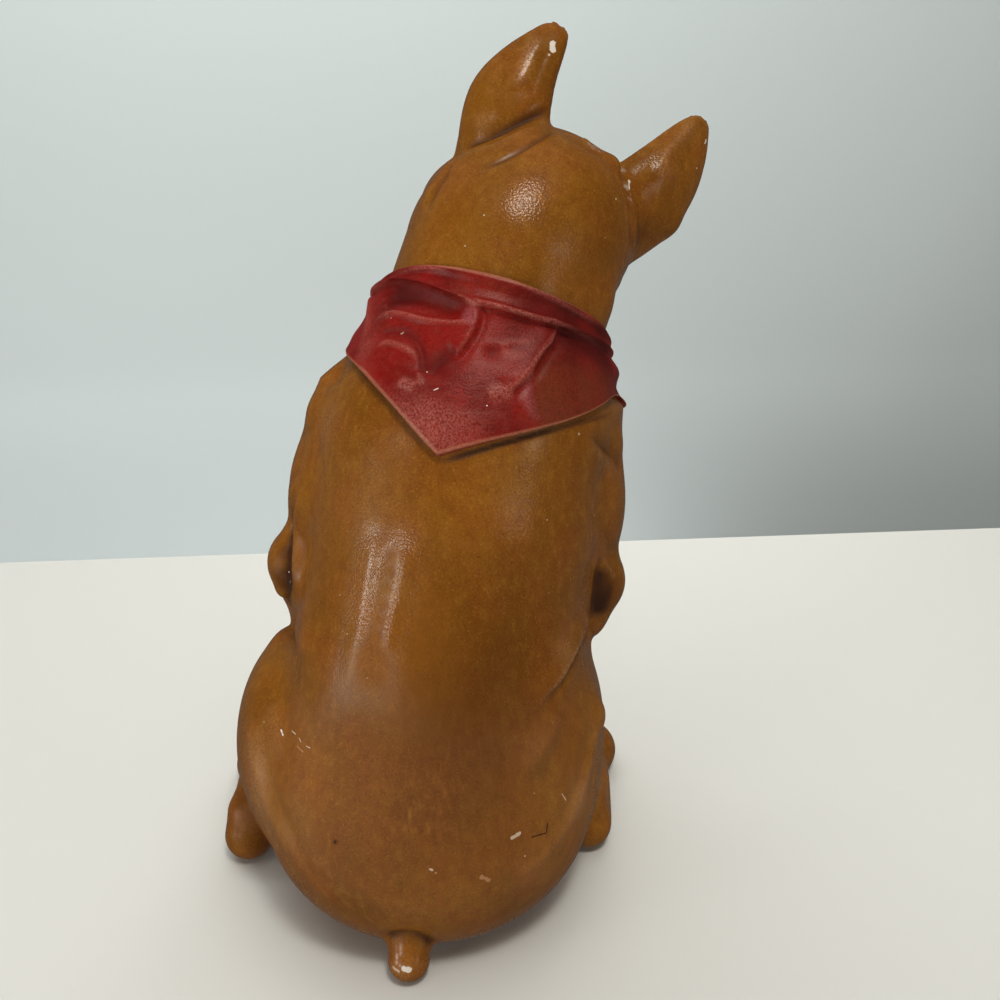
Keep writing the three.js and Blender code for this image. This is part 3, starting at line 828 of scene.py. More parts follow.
@dataclass
class Neck:
    """The axis of the neckerchief: heights, degrees round the neck from its back, and lifts."""

    clay: Clay
    centre: Place = (52.0, 15.0, 269.5)
    lean: Place = (0.287, 0.397, 0.872)
    radius: float = 48.0
    chart_low: float = -90.0  # the chart's lowest height; each row is a millimetre higher
    chart_rows: int = 101
    chart_columns: int = 180
    degrees: float = 2.0  # between two columns

    def __post_init__(self) -> None:
        """Works out the directions across the neck."""
        self.up = np.array(self.lean) / np.linalg.norm(self.lean)
        right = np.array((1.0, 0, 0)) - self.up[0] * self.up
        self.right = right / np.linalg.norm(right)
        self.front = np.cross(self.up, self.right)
        self.chart()

    def height(self, points: Points) -> np.ndarray:
        """How high points are along the neck."""
        return (points - np.array(self.centre)) @ self.up

    def angle(self, points: Points) -> np.ndarray:
        """Degrees round the neck from its back, to the dog's right."""
        off = points - np.array(self.centre)
        return np.degrees(np.arctan2(off @ self.right, -(off @ self.front)))

    def outward(self, angle: np.ndarray) -> Points:
        """The direction out from the axis at degrees round the neck."""
        turn = np.radians(angle)[:, None]
        return np.sin(turn) * self.right - np.cos(turn) * self.front

    def marched(self, angle: np.ndarray, height: np.ndarray, rounds: int = 40) -> np.ndarray:
        """Walks out from the axis until the coat is met.

        Args:
            angle: Degrees round the neck.
            height: Heights along it.
            rounds: How many steps the walk takes.

        Returns:
            How far the coat is from the axis.
        """
        stride, longest = 0.8, 15.0
        out = self.outward(angle)
        foot = np.array(self.centre) + height[:, None] * self.up
        reach = np.full(len(angle), self.radius)
        for _ in range(rounds):
            off = self.clay.distance(foot + reach[:, None] * out)
            reach = reach - stride * np.clip(off, -longest, longest)
        return reach

    def chart(self) -> None:
        """Charts how far the coat is from the axis."""
        rows = self.chart_low + np.arange(self.chart_rows)
        columns = -180 + self.degrees * np.arange(self.chart_columns)
        height, angle = np.meshgrid(rows, columns, indexing="ij")
        self.reaches = self.marched(angle.ravel(), height.ravel()).reshape(height.shape)

    def place(self, angle: np.ndarray, height: np.ndarray, lift: np.ndarray) -> Points:
        """Places above the coat.

        Args:
            angle: Degrees round the neck.
            height: Heights along it.
            lift: How far each place stands out of the coat.

        Returns:
            The places.
        """
        column = (angle + 180) / self.degrees
        row = np.clip(height - self.chart_low, 0, self.chart_rows - 1.01)
        i, j = row.astype(int), np.floor(column).astype(int)
        u, v = row - i, column - j
        near, far = j % self.chart_columns, (j + 1) % self.chart_columns
        low = self.reaches[i, near] * (1 - v) + self.reaches[i, far] * v
        high = self.reaches[i + 1, near] * (1 - v) + self.reaches[i + 1, far] * v
        reach = low * (1 - u) + high * u + lift
        return np.array(self.centre) + height[:, None] * self.up + reach[:, None] * self.outward(angle)


@dataclass(frozen=True)
class Bulge:
    """A place where the cloth stands out: degrees round the neck, share of the way down, sizes."""

    angle: float
    down: float
    wide: float
    tall: float
    rise: float

    def lift(self, angle: np.ndarray, down: np.ndarray) -> np.ndarray:
        """How far it lifts the cloth."""
        across = (angle - self.angle) / self.wide
        along = (down - self.down) / self.tall
        return self.rise * np.exp(-(across**2) - along**2)


@dataclass
class Neckerchief:
    """A red neckerchief: a rolled band on top and a flap that hangs to a point behind."""

    neck: Neck
    columns: int = 400
    face_rows: int = 96
    hem_rows: int = 8
    back_rows: int = 8
    band_share: float = 0.26  # of the face's rows, for the band
    pressed_in: float = 6.0
    tucked: float = 5.0  # how far the coat is pressed in under the cloth
    tuck_margin: float = 3.0  # width of the coat inside the cloth's edges that is left as it is
    tuck_slope: float = 5.0  # width over which it is then pressed in
    least_lift: float = -3.0  # of the face over the coat as it is without that
    most_raised: float = 4.0  # by one call of lift_off
    hem_round: float = 0.6  # how far the hem bulges down
    hem_turn: float = 1.6  # how late the hem turns in
    hoop_radius: float = 3.0  # of the hoop that is laid, whose section has a radius of 1
    pale_hem: float = 2.2  # rows over which the hem is painted pale, as wear and as a painted highlight
    pale_top: float = 2.0  # rows over which the top edge is
    top_row: float = 2.0  # the middle row of that
    bulges: tuple[Bulge, ...] = (
        Bulge(-90, 0.38, 14, 0.10, 2.6),
        Bulge(-84, 0.14, 12, 0.09, 3.6),
        Bulge(-86, 0.8, 12, 0.12, 0.8),
        Bulge(90, 0.13, 12, 0.1, 1.8),
        Bulge(92, 0.52, 14, 0.18, 2.8),
        Bulge(106, 0.86, 16, 0.16, -2.6),
        Bulge(-66, 0.5, 16, 0.12, 1.2),
    )

    def __post_init__(self) -> None:
        """Draws the lines of the cloth over degrees round the neck, and its lifts from top to hem."""
        tip = -8
        self.top = Profile(
            (-181, 0), (-120, -4), (-84, -7.5), (-70, -4.2), (-50, -2.2), (-35, -1.8),
            (60, -1.8), (100, -2), (181, 0),
        )
        self.hem = Profile(
            (-181, -26), (-120, -29), (-98, -33), (-86, -37.5), (-76, -42), (-60, -48),
            (-45, -54.5), (tip - 1, -77), (tip + 1, -77), (40, -53), (74, -32), (90, -26),
            (104, -24.5), (130, -25.5), (181, -26),
        )
        self.band = Profile(
            (-181, -9), (-110, -9), (-84, -9.5), (-62, -8), (-40, -10), (-15, -14),
            (20, -14), (60, -10), (100, -8), (181, -9),
        )
        self.band_lift = Profile(
            (0, 0.4), (0.08, 2.4), (0.2, 3.0), (0.5, 2.2), (0.8, 3.0), (0.94, 4.4), (1, 4.6)
        )
        self.flap_lift = Profile(
            (0, 4.6), (0.02, 3.0), (0.06, 2.3), (0.2, 3.1), (0.5, 4.4), (0.8, 4.0), (1, 3.2)
        )

    @property
    def rows(self) -> int:
        """How many points the cloth's section has."""
        return self.face_rows + self.hem_rows + self.back_rows

    def ring_of_cloth(self) -> bpy.types.Mesh:
        """A hoop of quads, its section a circle of as many points as the cloth has rows.

        Returns:
            The mesh.
        """
        form = bmesh.new()
        upright = Matrix.Translation((self.hoop_radius, 0, 0)) @ Matrix.Rotation(math.pi / 2, 4, "X")
        made = bmesh.ops.create_circle(form, segments=self.rows, radius=1.0, matrix=upright)
        edges = list(dict.fromkeys(e for v in made["verts"] for e in v.link_edges))
        bmesh.ops.spin(
            form, geom=made["verts"] + edges, axis=(0, 0, 1), cent=(0, 0, 0),
            angle=2 * math.pi, steps=self.columns, use_merge=True,
        )
        bmesh.ops.recalc_face_normals(form, faces=form.faces)
        bmesh.ops.reverse_faces(form, faces=form.faces)  # laying it turns it inside out
        return mesh_of(form, "neckerchief")

    def lay(self, cloth: Sculpture) -> None:
        """Lays the hoop on the coat, from its top edge over the flap to the hem and back inside.

        Args:
            cloth: The hoop, whose points are moved.
        """
        x, y, z = cloth.points.T
        angle = np.degrees(np.arctan2(y, x))
        turn = np.degrees(np.arctan2(z, np.hypot(x, y) - self.hoop_radius)) % 360
        row = np.round(turn / 360 * self.rows) % self.rows
        top, hem, band = self.top(angle), self.hem(angle), self.band(angle)
        down = np.clip(row / self.face_rows, 0, 1)
        roll = np.clip(down / self.band_share, 0, 1)
        flap = np.clip((down - self.band_share) / (1 - self.band_share), 0, 1)
        height = np.where(flap > 0, band + (hem - band) * flap, top + (band - top) * roll)
        lift = np.where(flap > 0, self.flap_lift(flap), self.band_lift(roll))
        edge = np.clip((row - self.face_rows) / self.hem_rows, 0, 1)
        self.face = row <= self.face_rows
        at_hem = float(self.flap_lift(1.0))
        sunk = (at_hem + self.pressed_in) * edge**self.hem_turn
        lift = np.where(self.face, lift, at_hem - sunk)
        height = np.where(self.face, height, hem - self.hem_round * np.sin(np.pi * edge))
        inner = np.clip((row - self.face_rows - self.hem_rows) / self.back_rows, 0, 1)
        height = np.where(inner > 0, hem + (top - 1 - hem) * inner, height)
        lift = np.where(inner > 0, -self.pressed_in, lift)
        lift = lift + self.face * sum(bulge.lift(angle, down) for bulge in self.bulges)
        cloth.points = self.neck.place(angle, height, lift)
        self.out = self.neck.outward(angle)
        # The hem and the top edge are painted pale, as wear and as a painted highlight.
        pale_hem = np.exp(-(((row - self.face_rows) / self.pale_hem) ** 2))
        pale_top = np.exp(-(((row - self.top_row) / self.pale_top) ** 2))
        cloth.add_paint("edge", pale_hem + pale_top)

    def lift_off(self, cloth: Sculpture) -> None:
        """Raises the face where a stroke has pressed it into the coat."""
        short = self.least_lift - self.neck.clay.distance(cloth.points)
        cloth.points += self.out * (np.clip(short, 0, self.most_raised) * self.face)[:, None]

    def tuck(self, coat: Sculpture) -> None:
        """Presses the coat in where the cloth hides it, so that the folds can be deep."""
        angle, height = self.neck.angle(coat.points), self.neck.height(coat.points)
        room = np.minimum(self.top(angle) - height, height - self.hem(angle)) - self.tuck_margin
        off = lengths_of(coat.points - np.array(self.neck.centre) - height[:, None] * self.neck.up)
        share = np.clip(room / self.tuck_slope, 0, 1) * (off < 2 * self.neck.radius)
        depth = self.tucked * share * share * (3 - 2 * share)
        coat.points -= self.neck.outward(angle) * depth[:, None]


@dataclass(frozen=True)
class Knot:
    """The knot at the throat and the two short ends that hang from it."""

    neck: Neck
    angle: float = 180.0  # degrees round the neck from its back
    height: float = -17.0
    lift: float = 4.0
    half: Place = (12, 8, 9)
    length: float = 38.0  # of each end
    half_width: float = 9.0
    half_thick: float = 6.0
    spread: float = 22.0  # degrees that each end goes aside
    widest: float = 0.65  # share of the length where an end is widest
    tie_share: float = 0.5  # width at the knot, as a share of the widest
    tip_share: float = 0.1
    around: int = 16  # points round an end
    along: int = 9  # rings along it

    def width(self, t: float) -> float:
        """The width of an end at the share `t` of its length, as a share of the widest."""
        if t < self.widest:
            return self.tie_share + (1 - self.tie_share) * t / self.widest
        return 1 - (1 - self.tip_share) * (t - self.widest) / (1 - self.widest)

    def mesh(self) -> bpy.types.Mesh:
        """Presses the knot and its ends together.

        Returns:
            The mesh, in rough.
        """
        form = bmesh.new()
        middle = np.array([[self.angle], [self.height], [self.lift]])
        Ball(tuple(self.neck.place(*middle)[0]), self.half, 0).press(form)
        turns = np.linspace(0, 2 * np.pi, self.around, endpoint=False)
        for side in SIDES:
            rings = []
            for t in np.linspace(0, 1, self.along):
                off = self.width(t) * self.half_width * np.cos(turns)
                angle = self.angle + side * self.spread * t + np.degrees(off / self.neck.radius)
                height = np.full(self.around, self.height - self.length * t)
                rings.append(self.neck.place(angle, height, self.half_thick * np.sin(turns)))
            loft(form, rings)
        bmesh.ops.recalc_face_normals(form, faces=form.faces)
        return mesh_of(form, "knot")


def spot_of(trees: Iterable[BVHTree], pixel: Pixel) -> Vector:
    """The place on the skins that a pixel of the photograph shows, in metres."""
    eye = Vector(CAMERA.place)
    hits = [tree.ray_cast(eye, CAMERA.ray(pixel))[0] for tree in trees]
    found = [hit for hit in hits if hit is not None]
    return min(found, key=lambda hit: (hit - eye).length, default=eye) * MM


class Value:
    """A shader value that takes part in Python expressions."""

    def __init__(self, shader: Shader, socket: bpy.types.NodeSocket) -> None:
        """Wraps an output socket."""
        self.shader = shader
        self.socket = socket

    def maths(self, operation: str, *inputs: Value | float) -> Value:
        """The result of a Math node."""
        return self.shader.node("ShaderNodeMath", {"operation": operation}, dict(enumerate(inputs)))

    def __add__(self, other: Value | float) -> Value:
        """self + other."""
        return self.maths("ADD", self, other)

    def __radd__(self, other: float) -> Value:
        """other + self."""
        return self.maths("ADD", other, self)

    def __sub__(self, other: Value | float) -> Value:
        """self - other."""
        return self.maths("SUBTRACT", self, other)

    def __rsub__(self, other: float) -> Value:
        """other - self."""
        return self.maths("SUBTRACT", other, self)

    def __mul__(self, other: Value | float) -> Value:
        """self * other."""
        return self.maths("MULTIPLY", self, other)

    def __rmul__(self, other: float) -> Value:
        """other * self."""
        return self.maths("MULTIPLY", other, self)

    def held(self) -> Value:
        """self, held between 0 and 1."""
        return self.maths("MINIMUM", self.maths("MAXIMUM", self, 0.0), 1.0)

    def between(self, low: float, high: float) -> Value:
        """0 below `low`, 1 above `high` and smooth between them."""
        return self.shader.node(
            "ShaderNodeMapRange", {"interpolation_type": "SMOOTHSTEP"},
            {"Value": self, "From Min": low, "From Max": high},
        )


class Shader:
    """A material that is built by expressions."""

    def __init__(self, name: str) -> None:
        """Starts an empty material."""
        self.material = bpy.data.materials.new(name)
        self.material.use_nodes = True
        self.tree = self.material.node_tree
        self.tree.nodes.clear()
        self.coords = self.node("ShaderNodeTexCoord", {}, {}, "Object")

    def node(
        self,
        kind: str,
        settings: dict[str, object],
        inputs: dict[int | str, object],
        output: int | str = 0,
    ) -> Value:
        """Adds a node.

        Args:
            kind: Blender's name of the node's type.
            settings: Its settings.
            inputs: Values or links of its input sockets.
            output: The output socket that is wanted.

        Returns:
            The output.
        """
        made = self.tree.nodes.new(kind)
        for name, value in settings.items():
            setattr(made, name, value)
        for name, value in inputs.items():
            if isinstance(value, Value):
                self.tree.links.new(value.socket, made.inputs[name])
            else:
                made.inputs[name].default_value = value
        return Value(self, made.outputs[output])

    def pattern_space(self, size: float, stretch: Place, moved: Place) -> Value:
        """The object's coordinates, in units of `size` millimetres."""
        scale = tuple(share / (size * MM) for share in stretch)
        inputs = {"Vector": self.coords, "Location": moved, "Scale": scale}
        return self.node("ShaderNodeMapping", {}, inputs)

    def noise(
        self, size: float, detail: float = 2.0, stretch: Place = EVEN, seed: float = 0.0
    ) -> Value:
        """Noise whose patches are about `size` millimetres wide.

        Args:
            size: The width of a patch.
            detail: How much finer noise it holds.
            stretch: How many patches lie in that width along X, Y and Z.
            seed: Moves the pattern.

        Returns:
            Noise from 0 to 1.
        """
        space = self.pattern_space(size, stretch, (seed, seed / 2, -seed))
        return self.node("ShaderNodeTexNoise", {}, {"Vector": space, "Scale": 1.0, "Detail": detail})

    def pebbles(self, size: float, seed: float) -> Value:
        """Round pebbles about `size` millimetres wide, 0 in the joints and higher inside."""
        space = self.pattern_space(size, EVEN, (seed,) * 3)
        inputs = {"Vector": space, "Scale": 1.0, "Smoothness": 0.4}
        return 1.0 - self.node("ShaderNodeTexVoronoi", {"feature": "SMOOTH_F1"}, inputs)

    def mask(self, name: str) -> Value:
        """A paint mask that the modelling left on the points."""
        return self.node("ShaderNodeAttribute", {"attribute_name": name}, {}, "Fac")

    def mix(self, share: Value | float, first: object, second: object) -> Value:
        """A mix of two colours, by `share` of the second."""
        settings = {"data_type": "RGBA", "blend_type": "MIX"}
        return self.node("ShaderNodeMix", settings, {0: share, 6: first, 7: second}, 2)

    def over(self, base: Value, share: Value | float, shade: Shade) -> Value:
        """`base` with `share` of another paint over it."""
        return self.mix(share, base, colour(shade))

    def vectors(self, operation: str, *inputs: Value | Vector, output: str = "Vector") -> Value:
        """The result of a Vector Math node."""
        given = {
            i: tuple(value) if isinstance(value, Vector) else value for i, value in enumerate(inputs)
        }
        return self.node("ShaderNodeVectorMath", {"operation": operation}, given, output)

    def near(self, start: Vector, end: Vector) -> Value:
        """The distance from the line between two places in metres, in millimetres."""
        line = end - start
        if line.length < SHORTEST:
            return self.vectors("DISTANCE", self.coords, start, output="Value") * (1 / MM)
        reach = self.vectors("SUBTRACT", self.coords, start)
        share = self.vectors("DOT_PRODUCT", reach, line / line.length_squared, output="Value")
        held = share.held()
        inputs = {0: tuple(line), "Scale": held}
        along = self.node("ShaderNodeVectorMath", {"operation": "SCALE"}, inputs, "Vector")
        return self.vectors("DISTANCE", reach, along, output="Value") * (1 / MM)

    def finish(self, inputs: dict[str, object]) -> bpy.types.Material:
        """Ends the material with a surface that has these inputs."""
        surface = self.node("ShaderNodeBsdfPrincipled", {}, inputs)
        out = self.tree.nodes.new("ShaderNodeOutputMaterial")
        self.tree.links.new(surface.socket, out.inputs["Surface"])
        return self.material


def colour(shade: Shade) -> tuple[float, float, float, float]:
    """A paint colour for a socket, from its display values."""

    def linear(value: int) -> float:
        """One display value as light."""
        share = value / 255  # the constants below are those of the sRGB curve
        return share / 12.92 if share <= 0.04045 else ((share + 0.055) / 1.055) ** 2.4

    return (*map(linear, shade), 1.0)


@dataclass(frozen=True)
class Blemish:
    """A chip, a scratch or a spot of paint, at a pixel of the photograph or between two."""

    start: Pixel
    radius: float
    shade: Shade
    end: Pixel | None = None
    sunk: float = 0.0  # how deep the paint is gone
    ragged: float = 1.6  # how uneven its outline is, as a share of the radius

    def placed(self, trees: Sequence[BVHTree]) -> PlacedBlemish:
        """Finds the blemish on the skin."""
        first = spot_of(trees, self.start)
        return PlacedBlemish(self, first, first if self.end is None else spot_of(trees, self.end))


@dataclass(frozen=True)
class PlacedBlemish:
    """A blemish with the places of its ends on the skin, in metres."""

    look: Blemish
    start: Vector
    end: Vector


@dataclass
class Layers:
    """The colour, roughness and height of a paint while it is built up."""

    base: Value
    rough: Value
    height: Value


@dataclass(frozen=True)
class Paint:
    """A satin paint with the chips, scratches and spots that lie on it."""

    slot: str
    bump_strength: float
    ior: float
    sheen: Place  # tint of its highlights
    blemishes: tuple[PlacedBlemish, ...] = ()

    def layers(self, s: Shader) -> Layers:
        """The paint without its blemishes."""
        raise NotImplementedError

    def mark(self, s: Shader, layers: Layers) -> None:
        """Lays the blemishes on the paint.

        Args:
            s: The material in work.
            layers: The paint, which is changed.
        """
        soft_edge, cover, chalky = 0.7, 0.8, 0.3
        torn = s.noise(1.4, seed=31.0) - 0.5
        for blemish in self.blemishes:
            look = blemish.look
            ragged = s.near(blemish.start, blemish.end) + torn * (look.ragged * look.radius)
            mark = ragged.between(look.radius, look.radius * soft_edge)
            layers.base = s.over(layers.base, mark * cover, look.shade)
            if look.sunk > 0:
                layers.height = layers.height - mark * look.sunk
                layers.rough = layers.rough + mark * chalky

    def material(self) -> bpy.types.Material:
        """Makes the material.

        Returns:
            The material.
        """
        s = Shader(self.slot)
        layers = self.layers(s)
        self.mark(s, layers)
        relief = {"Strength": self.bump_strength, "Distance": 0.3 * MM, "Height": layers.height}
        return s.finish({
            "Base Color": layers.base,
            "Roughness": layers.rough,
            "Normal": s.node("ShaderNodeBump", {}, relief, "Normal"),
            "IOR": self.ior,
            "Specular Tint": (*self.sheen, 1.0),
        })


@dataclass(frozen=True)
class BrownPaint(Paint):
    """Satin brown paint, brushed on in glazes, paled on the ridges by wear and painted highlight, and
    darkened in the hollows and in patches by soiling and painted shade.
    """

    slot: str = "brown_paint"
    bump_strength: float = 0.7
    ior: float = 1.46
    sheen: Place = (1.0, 0.9, 0.78)
    brown: Shade = (116, 69, 10)
    ochre: Shade = (131, 81, 18)
    russet: Shade = (133, 69, 16)
    umber: Shade = (104, 54, 8)
    honey: Shade = (150, 98, 30)
    speckled: Shade = (76, 40, 8)
    glint: Shade = (178, 122, 48)
    golden: Shade = (124, 74, 10)
    # painted shade, for places that lie in shade
    painted_shade: Shade = (76, 36, 2)
    brush_light: Shade = (144, 92, 36)
    brush_dark: Shade = (84, 44, 14)
    # pale paint of wear, laid also as painted highlight and sheen
    worn: Shade = (166, 122, 84)
    # dark paint of soiling and of painted shade in hollows and creases
    dirt_and_shade: Shade = (46, 18, 6)
    chalk: Shade = (176, 160, 142)
    pit: Shade = (50, 26, 10)
    fleck: Shade = (196, 160, 120)
    black: Shade = (20, 12, 9)

    def layers(self, s: Shader) -> Layers:
        """Builds the paint without its blemishes.

        Args:
            s: The material in work.

        Returns:
            The paint's layers.
        """
        wide = s.noise(60, 2, (1, 1, 0.6)).between(0.36, 0.64)
        patch = s.noise(19, 3, (1, 1, 0.7), 3.0).between(0.42, 0.62)
        brushed = s.noise(2.2, 2, (1, 1, 0.06), 7.0)
        grain = s.noise(0.8, seed=11.0)
        speck = s.noise(0.8, seed=37.0)
        mottle = s.noise(4.5, 3, (1, 1, 0.7), 59.0)
        base = s.mix(wide, colour(self.brown), colour(self.ochre))
        base = s.over(base, patch * 0.35, self.russet)
        base = s.over(base, mottle.between(0.5, 0.34) * 0.3, self.umber)
        base = s.over(base, mottle.between(0.52, 0.7) * 0.3, self.honey)
        base = s.over(base, speck.between(0.52, 0.3) * 0.34, self.speckled)
        base = s.over(base, s.noise(0.9, seed=53.0).between(0.54, 0.72) * 0.26, self.glint)
        base = s.over(base, s.mask("gold").between(0.0, 1.2) * 0.6, self.golden)
        # painted shade: patches darkened where the back, the elbow pockets and the right of the head
        # lie in shade
        base = s.over(base, s.mask("shade").between(0.0, 1.6) * 0.75, self.painted_shade)
        strokes = 0.06 + s.mask("brushed").between(0.0, 1.0) * 0.45
        base = s.over(base, brushed.between(0.5, 0.75) * strokes, self.brush_light)
        base = s.over(base, brushed.between(0.48, 0.28) * strokes, self.brush_dark)
        # wear and painted highlight: paler on raised places, along strokes and where edges catch the
        # light
        raised = s.mask("fine").between(0.06, 0.5) * 0.4
        rubbed_and_lit = (raised + s.mask("rub_and_highlight") + s.mask("dust_and_sheen") * 0.6).between(0.0, 1.3)
        base = s.over(base, rubbed_and_lit * (0.1 + grain.between(0.3, 0.7) * 0.75), self.worn)
        # soiling and painted shade: darker in hollows and along creases
        sunk = (s.mask("fine") * -1.0).between(0.05, 0.6)
        dirt_and_shade_share = (sunk * 0.7 + s.mask("grime_and_shade")).between(0.0, 1.2)
        base = s.over(base, dirt_and_shade_share * (0.6 + grain * 0.5), self.dirt_and_shade)
        limed = (s.mask("lime") + s.noise(1.6, 3, seed=17.0) * 1.3 - 0.9).between(0.15, 0.75)
        base = s.over(base, limed * 0.75, self.chalk)
        base = s.over(base, s.noise(1.3, 1, seed=19.0).between(0.26, 0.2) * 0.45, self.pit)
        base = s.over(base, s.noise(2.4, 1, seed=29.0).between(0.81, 0.84) * 0.6, self.fleck)
        base = s.over(base, s.mask("dark").between(0.3, 0.7), self.black)
        rough = 0.16 + brushed * 0.05 + grain * 0.1 + limed * 0.3 + rubbed_and_lit * 0.06 + dirt_and_shade_share * 0.4
        rough = rough + s.mask("dull").between(0.0, 1.0) * 0.5
        pebbly = s.mask("pebbly").between(0.0, 1.0) + s.noise(40, seed=47.0).between(0.5, 0.7) * 0.25
        height = s.pebbles(1.0, 41.0) * (0.09 + pebbly * 0.4) + speck * (0.11 + pebbly * 0.18)
        height = height + brushed * 0.05 + s.noise(7, 2, (1, 1, 0.5), 13.0) * 0.3
        return Layers(base, rough, height)


@dataclass(frozen=True)
class RedPaint(Paint):
    """Deep red satin paint, paled along its folds and edges by wear and painted highlight, and darkened
    in its hollows by soiling and painted shade.
    """

    slot: str = "red_paint"
    bump_strength: float = 0.5
    ior: float = 1.36
    sheen: Place = (1.0, 0.84, 0.74)
    deep_red: Shade = (104, 8, 5)
    red: Shade = (134, 17, 10)
    browned: Shade = (104, 46, 22)
    brush_light: Shade = (142, 44, 36)
    speckled: Shade = (62, 7, 5)
    mottled: Shade = (118, 44, 30)
    # pale paint of wear, laid also as painted highlight
    worn: Shade = (164, 88, 76)
    scuff_and_sheen_colour: Shade = (150, 86, 90)
    pale_edge_wear_and_highlight: Shade = (172, 110, 82)
    # dark paint of soiling and of painted shade in hollows and creases
    dirt_and_shade: Shade = (64, 4, 3)

    def layers(self, s: Shader) -> Layers:
        """Builds the paint without its blemishes.

        Args:
            s: The material in work.

        Returns:
            The paint's layers.
        """
        wide = s.noise(24, 3, (1, 1, 0.8), 2.0).between(0.36, 0.64)
        brushed = s.noise(2.2, 3, (0.25, 1, 1), 5.0)
        grain = s.noise(0.8, seed=9.0)
        speck = s.noise(0.75, seed=33.0)
        edge = s.mask("edge")
        base = s.mix(wide, colour(self.deep_red), colour(self.red))
        base = s.over(base, s.mask("worn").between(0.0, 1.2) * (0.55 + wide * 0.35), self.browned)
        base = s.over(base, brushed.between(0.5, 0.7) * 0.25, self.brush_light)
        base = s.over(base, speck.between(0.54, 0.32) * 0.45, self.speckled)
        base = s.over(base, s.noise(3.5, 3, seed=61.0).between(0.5, 0.68) * 0.3, self.mottled)
        # wear and painted highlight: paler on raised folds and along strokes
        rubbed_and_lit = s.mask("fine").between(0.08, 0.6) * (1.0 - edge).between(0.0, 1.0) * 0.5
        rubbed_and_lit = (rubbed_and_lit + s.mask("rub_and_highlight")).between(0.05, 1.2)
        base = s.over(base, rubbed_and_lit * (0.1 + grain.between(0.3, 0.7) * 0.7), self.worn)
        # purple-grey scuffs, partly a painted sheen where planes of the cloth catch the light
        scuffs_and_sheen = s.mask("scuff_and_sheen").between(0.1, 1.0) * (0.3 + speck.between(0.35, 0.65) * 0.5)
        base = s.over(base, scuffs_and_sheen * 0.7, self.scuff_and_sheen_colour)
        # the top edge and the hem, painted pale as wear and as a painted highlight
        base = s.over(base, edge.between(0.3, 1.0) * (0.2 + grain * 0.7), self.pale_edge_wear_and_highlight)
        # soiling and painted shade: darker in hollows and creases
        sunk = (s.mask("fine") * -1.0).between(0.1, 0.7)
        dirt_and_shade_share = (sunk * 0.7 + s.mask("grime_and_shade")).between(0.0, 1.2)
        base = s.over(base, dirt_and_shade_share * 0.8, self.dirt_and_shade)
        rough = 0.32 + brushed * 0.1 + grain * 0.1 + dirt_and_shade_share * 0.3
        height = s.pebbles(0.9, 21.0) * 0.5 + brushed * 0.6 + speck * 0.2
        return Layers(base, rough, height)


@dataclass(frozen=True)
class Lamp:
    """A soft light that looks at the dog, or at a place of its own."""

    name: str
    azimuth: float  # degrees round the dog from behind it to its right
    height: float  # degrees above the middle of the dog
    distance: float  # metres from there
    size: Pixel  # width and height in metres
    power: float  # watts
    tint: Place
    mirrored: bool = False  # whether the paint shows it as a highlight
    aim: Place | None = None

    def build(self, middle: Vector) -> None:
        """Makes the light.

        Args:
            middle: The middle of the dog.
        """
        turn, rise = math.radians(self.azimuth), math.radians(self.height)
        level = math.cos(rise)
        away = Vector((math.sin(turn) * level, -math.cos(turn) * level, math.sin(rise)))
        data = bpy.data.lights.new(self.name, "AREA")
        data.shape = "RECTANGLE"
        data.size, data.size_y = self.size
        data.energy = self.power
        data.color = self.tint
        lamp = bpy.data.objects.new(self.name, data)
        lamp.location = middle + away * self.distance
        ahead = Vector(self.aim or middle) - lamp.location
        lamp.rotation_euler = ahead.to_track_quat("-Z", "Y").to_euler()
        lamp.visible_camera = False
        lamp.visible_glossy = self.mirrored
        bpy.context.scene.collection.objects.link(lamp)


LAMPS = (
    Lamp("key", 20, 60, 1.5, (0.5, 0.5), 3.5, (1.0, 0.98, 0.94)),
    Lamp("fill", -60, 12, 1.6, (0.9, 0.9), 2.2, (1.0, 0.97, 0.93)),
    Lamp("overhead", 0, 88, 1.8, (2.2, 2.2), 18.5, (0.98, 0.99, 1.0)),
    Lamp("warm", 75, 8, 1.5, (0.7, 0.7), 1.3, (1.0, 0.9, 0.78)),
    Lamp("ceiling", 20, 60, 1.5, (0.21, 0.21), 6.4, (1.0, 0.98, 0.94), True),
    Lamp("window", -40, -2.5, 1.6, (0.12, 0.38), 4.3, (0.98, 0.98, 1.0), True),
    Lamp("far_window", -64, -2.5, 1.6, (0.15, 0.42), 5.2, (0.98, 0.98, 1.0), True),
    Lamp("room", 50, 10, 1.6, (0.3, 0.5), 1.0, (1.0, 0.97, 0.94), True),
    Lamp("wall_wash", -148, 60, 1.25, (1.6, 0.3), 6.0, (0.98, 0.99, 1.0), False, (-0.35, 1.05, 0.25)),
    Lamp("wall_foot", -143, -31, 1.02, (1.6, 0.3), 2.6, (0.99, 0.99, 1.0), False, (-0.55, 1.05, 0.15)),
    Lamp("front", 168, 14, 0.95, (0.5, 0.5), 1.5, (1.0, 0.98, 0.95)),
    Lamp("low_fill", 5, 6, 1.6, (1.2, 0.5), 2.4, (1.0, 0.96, 0.9)),
)


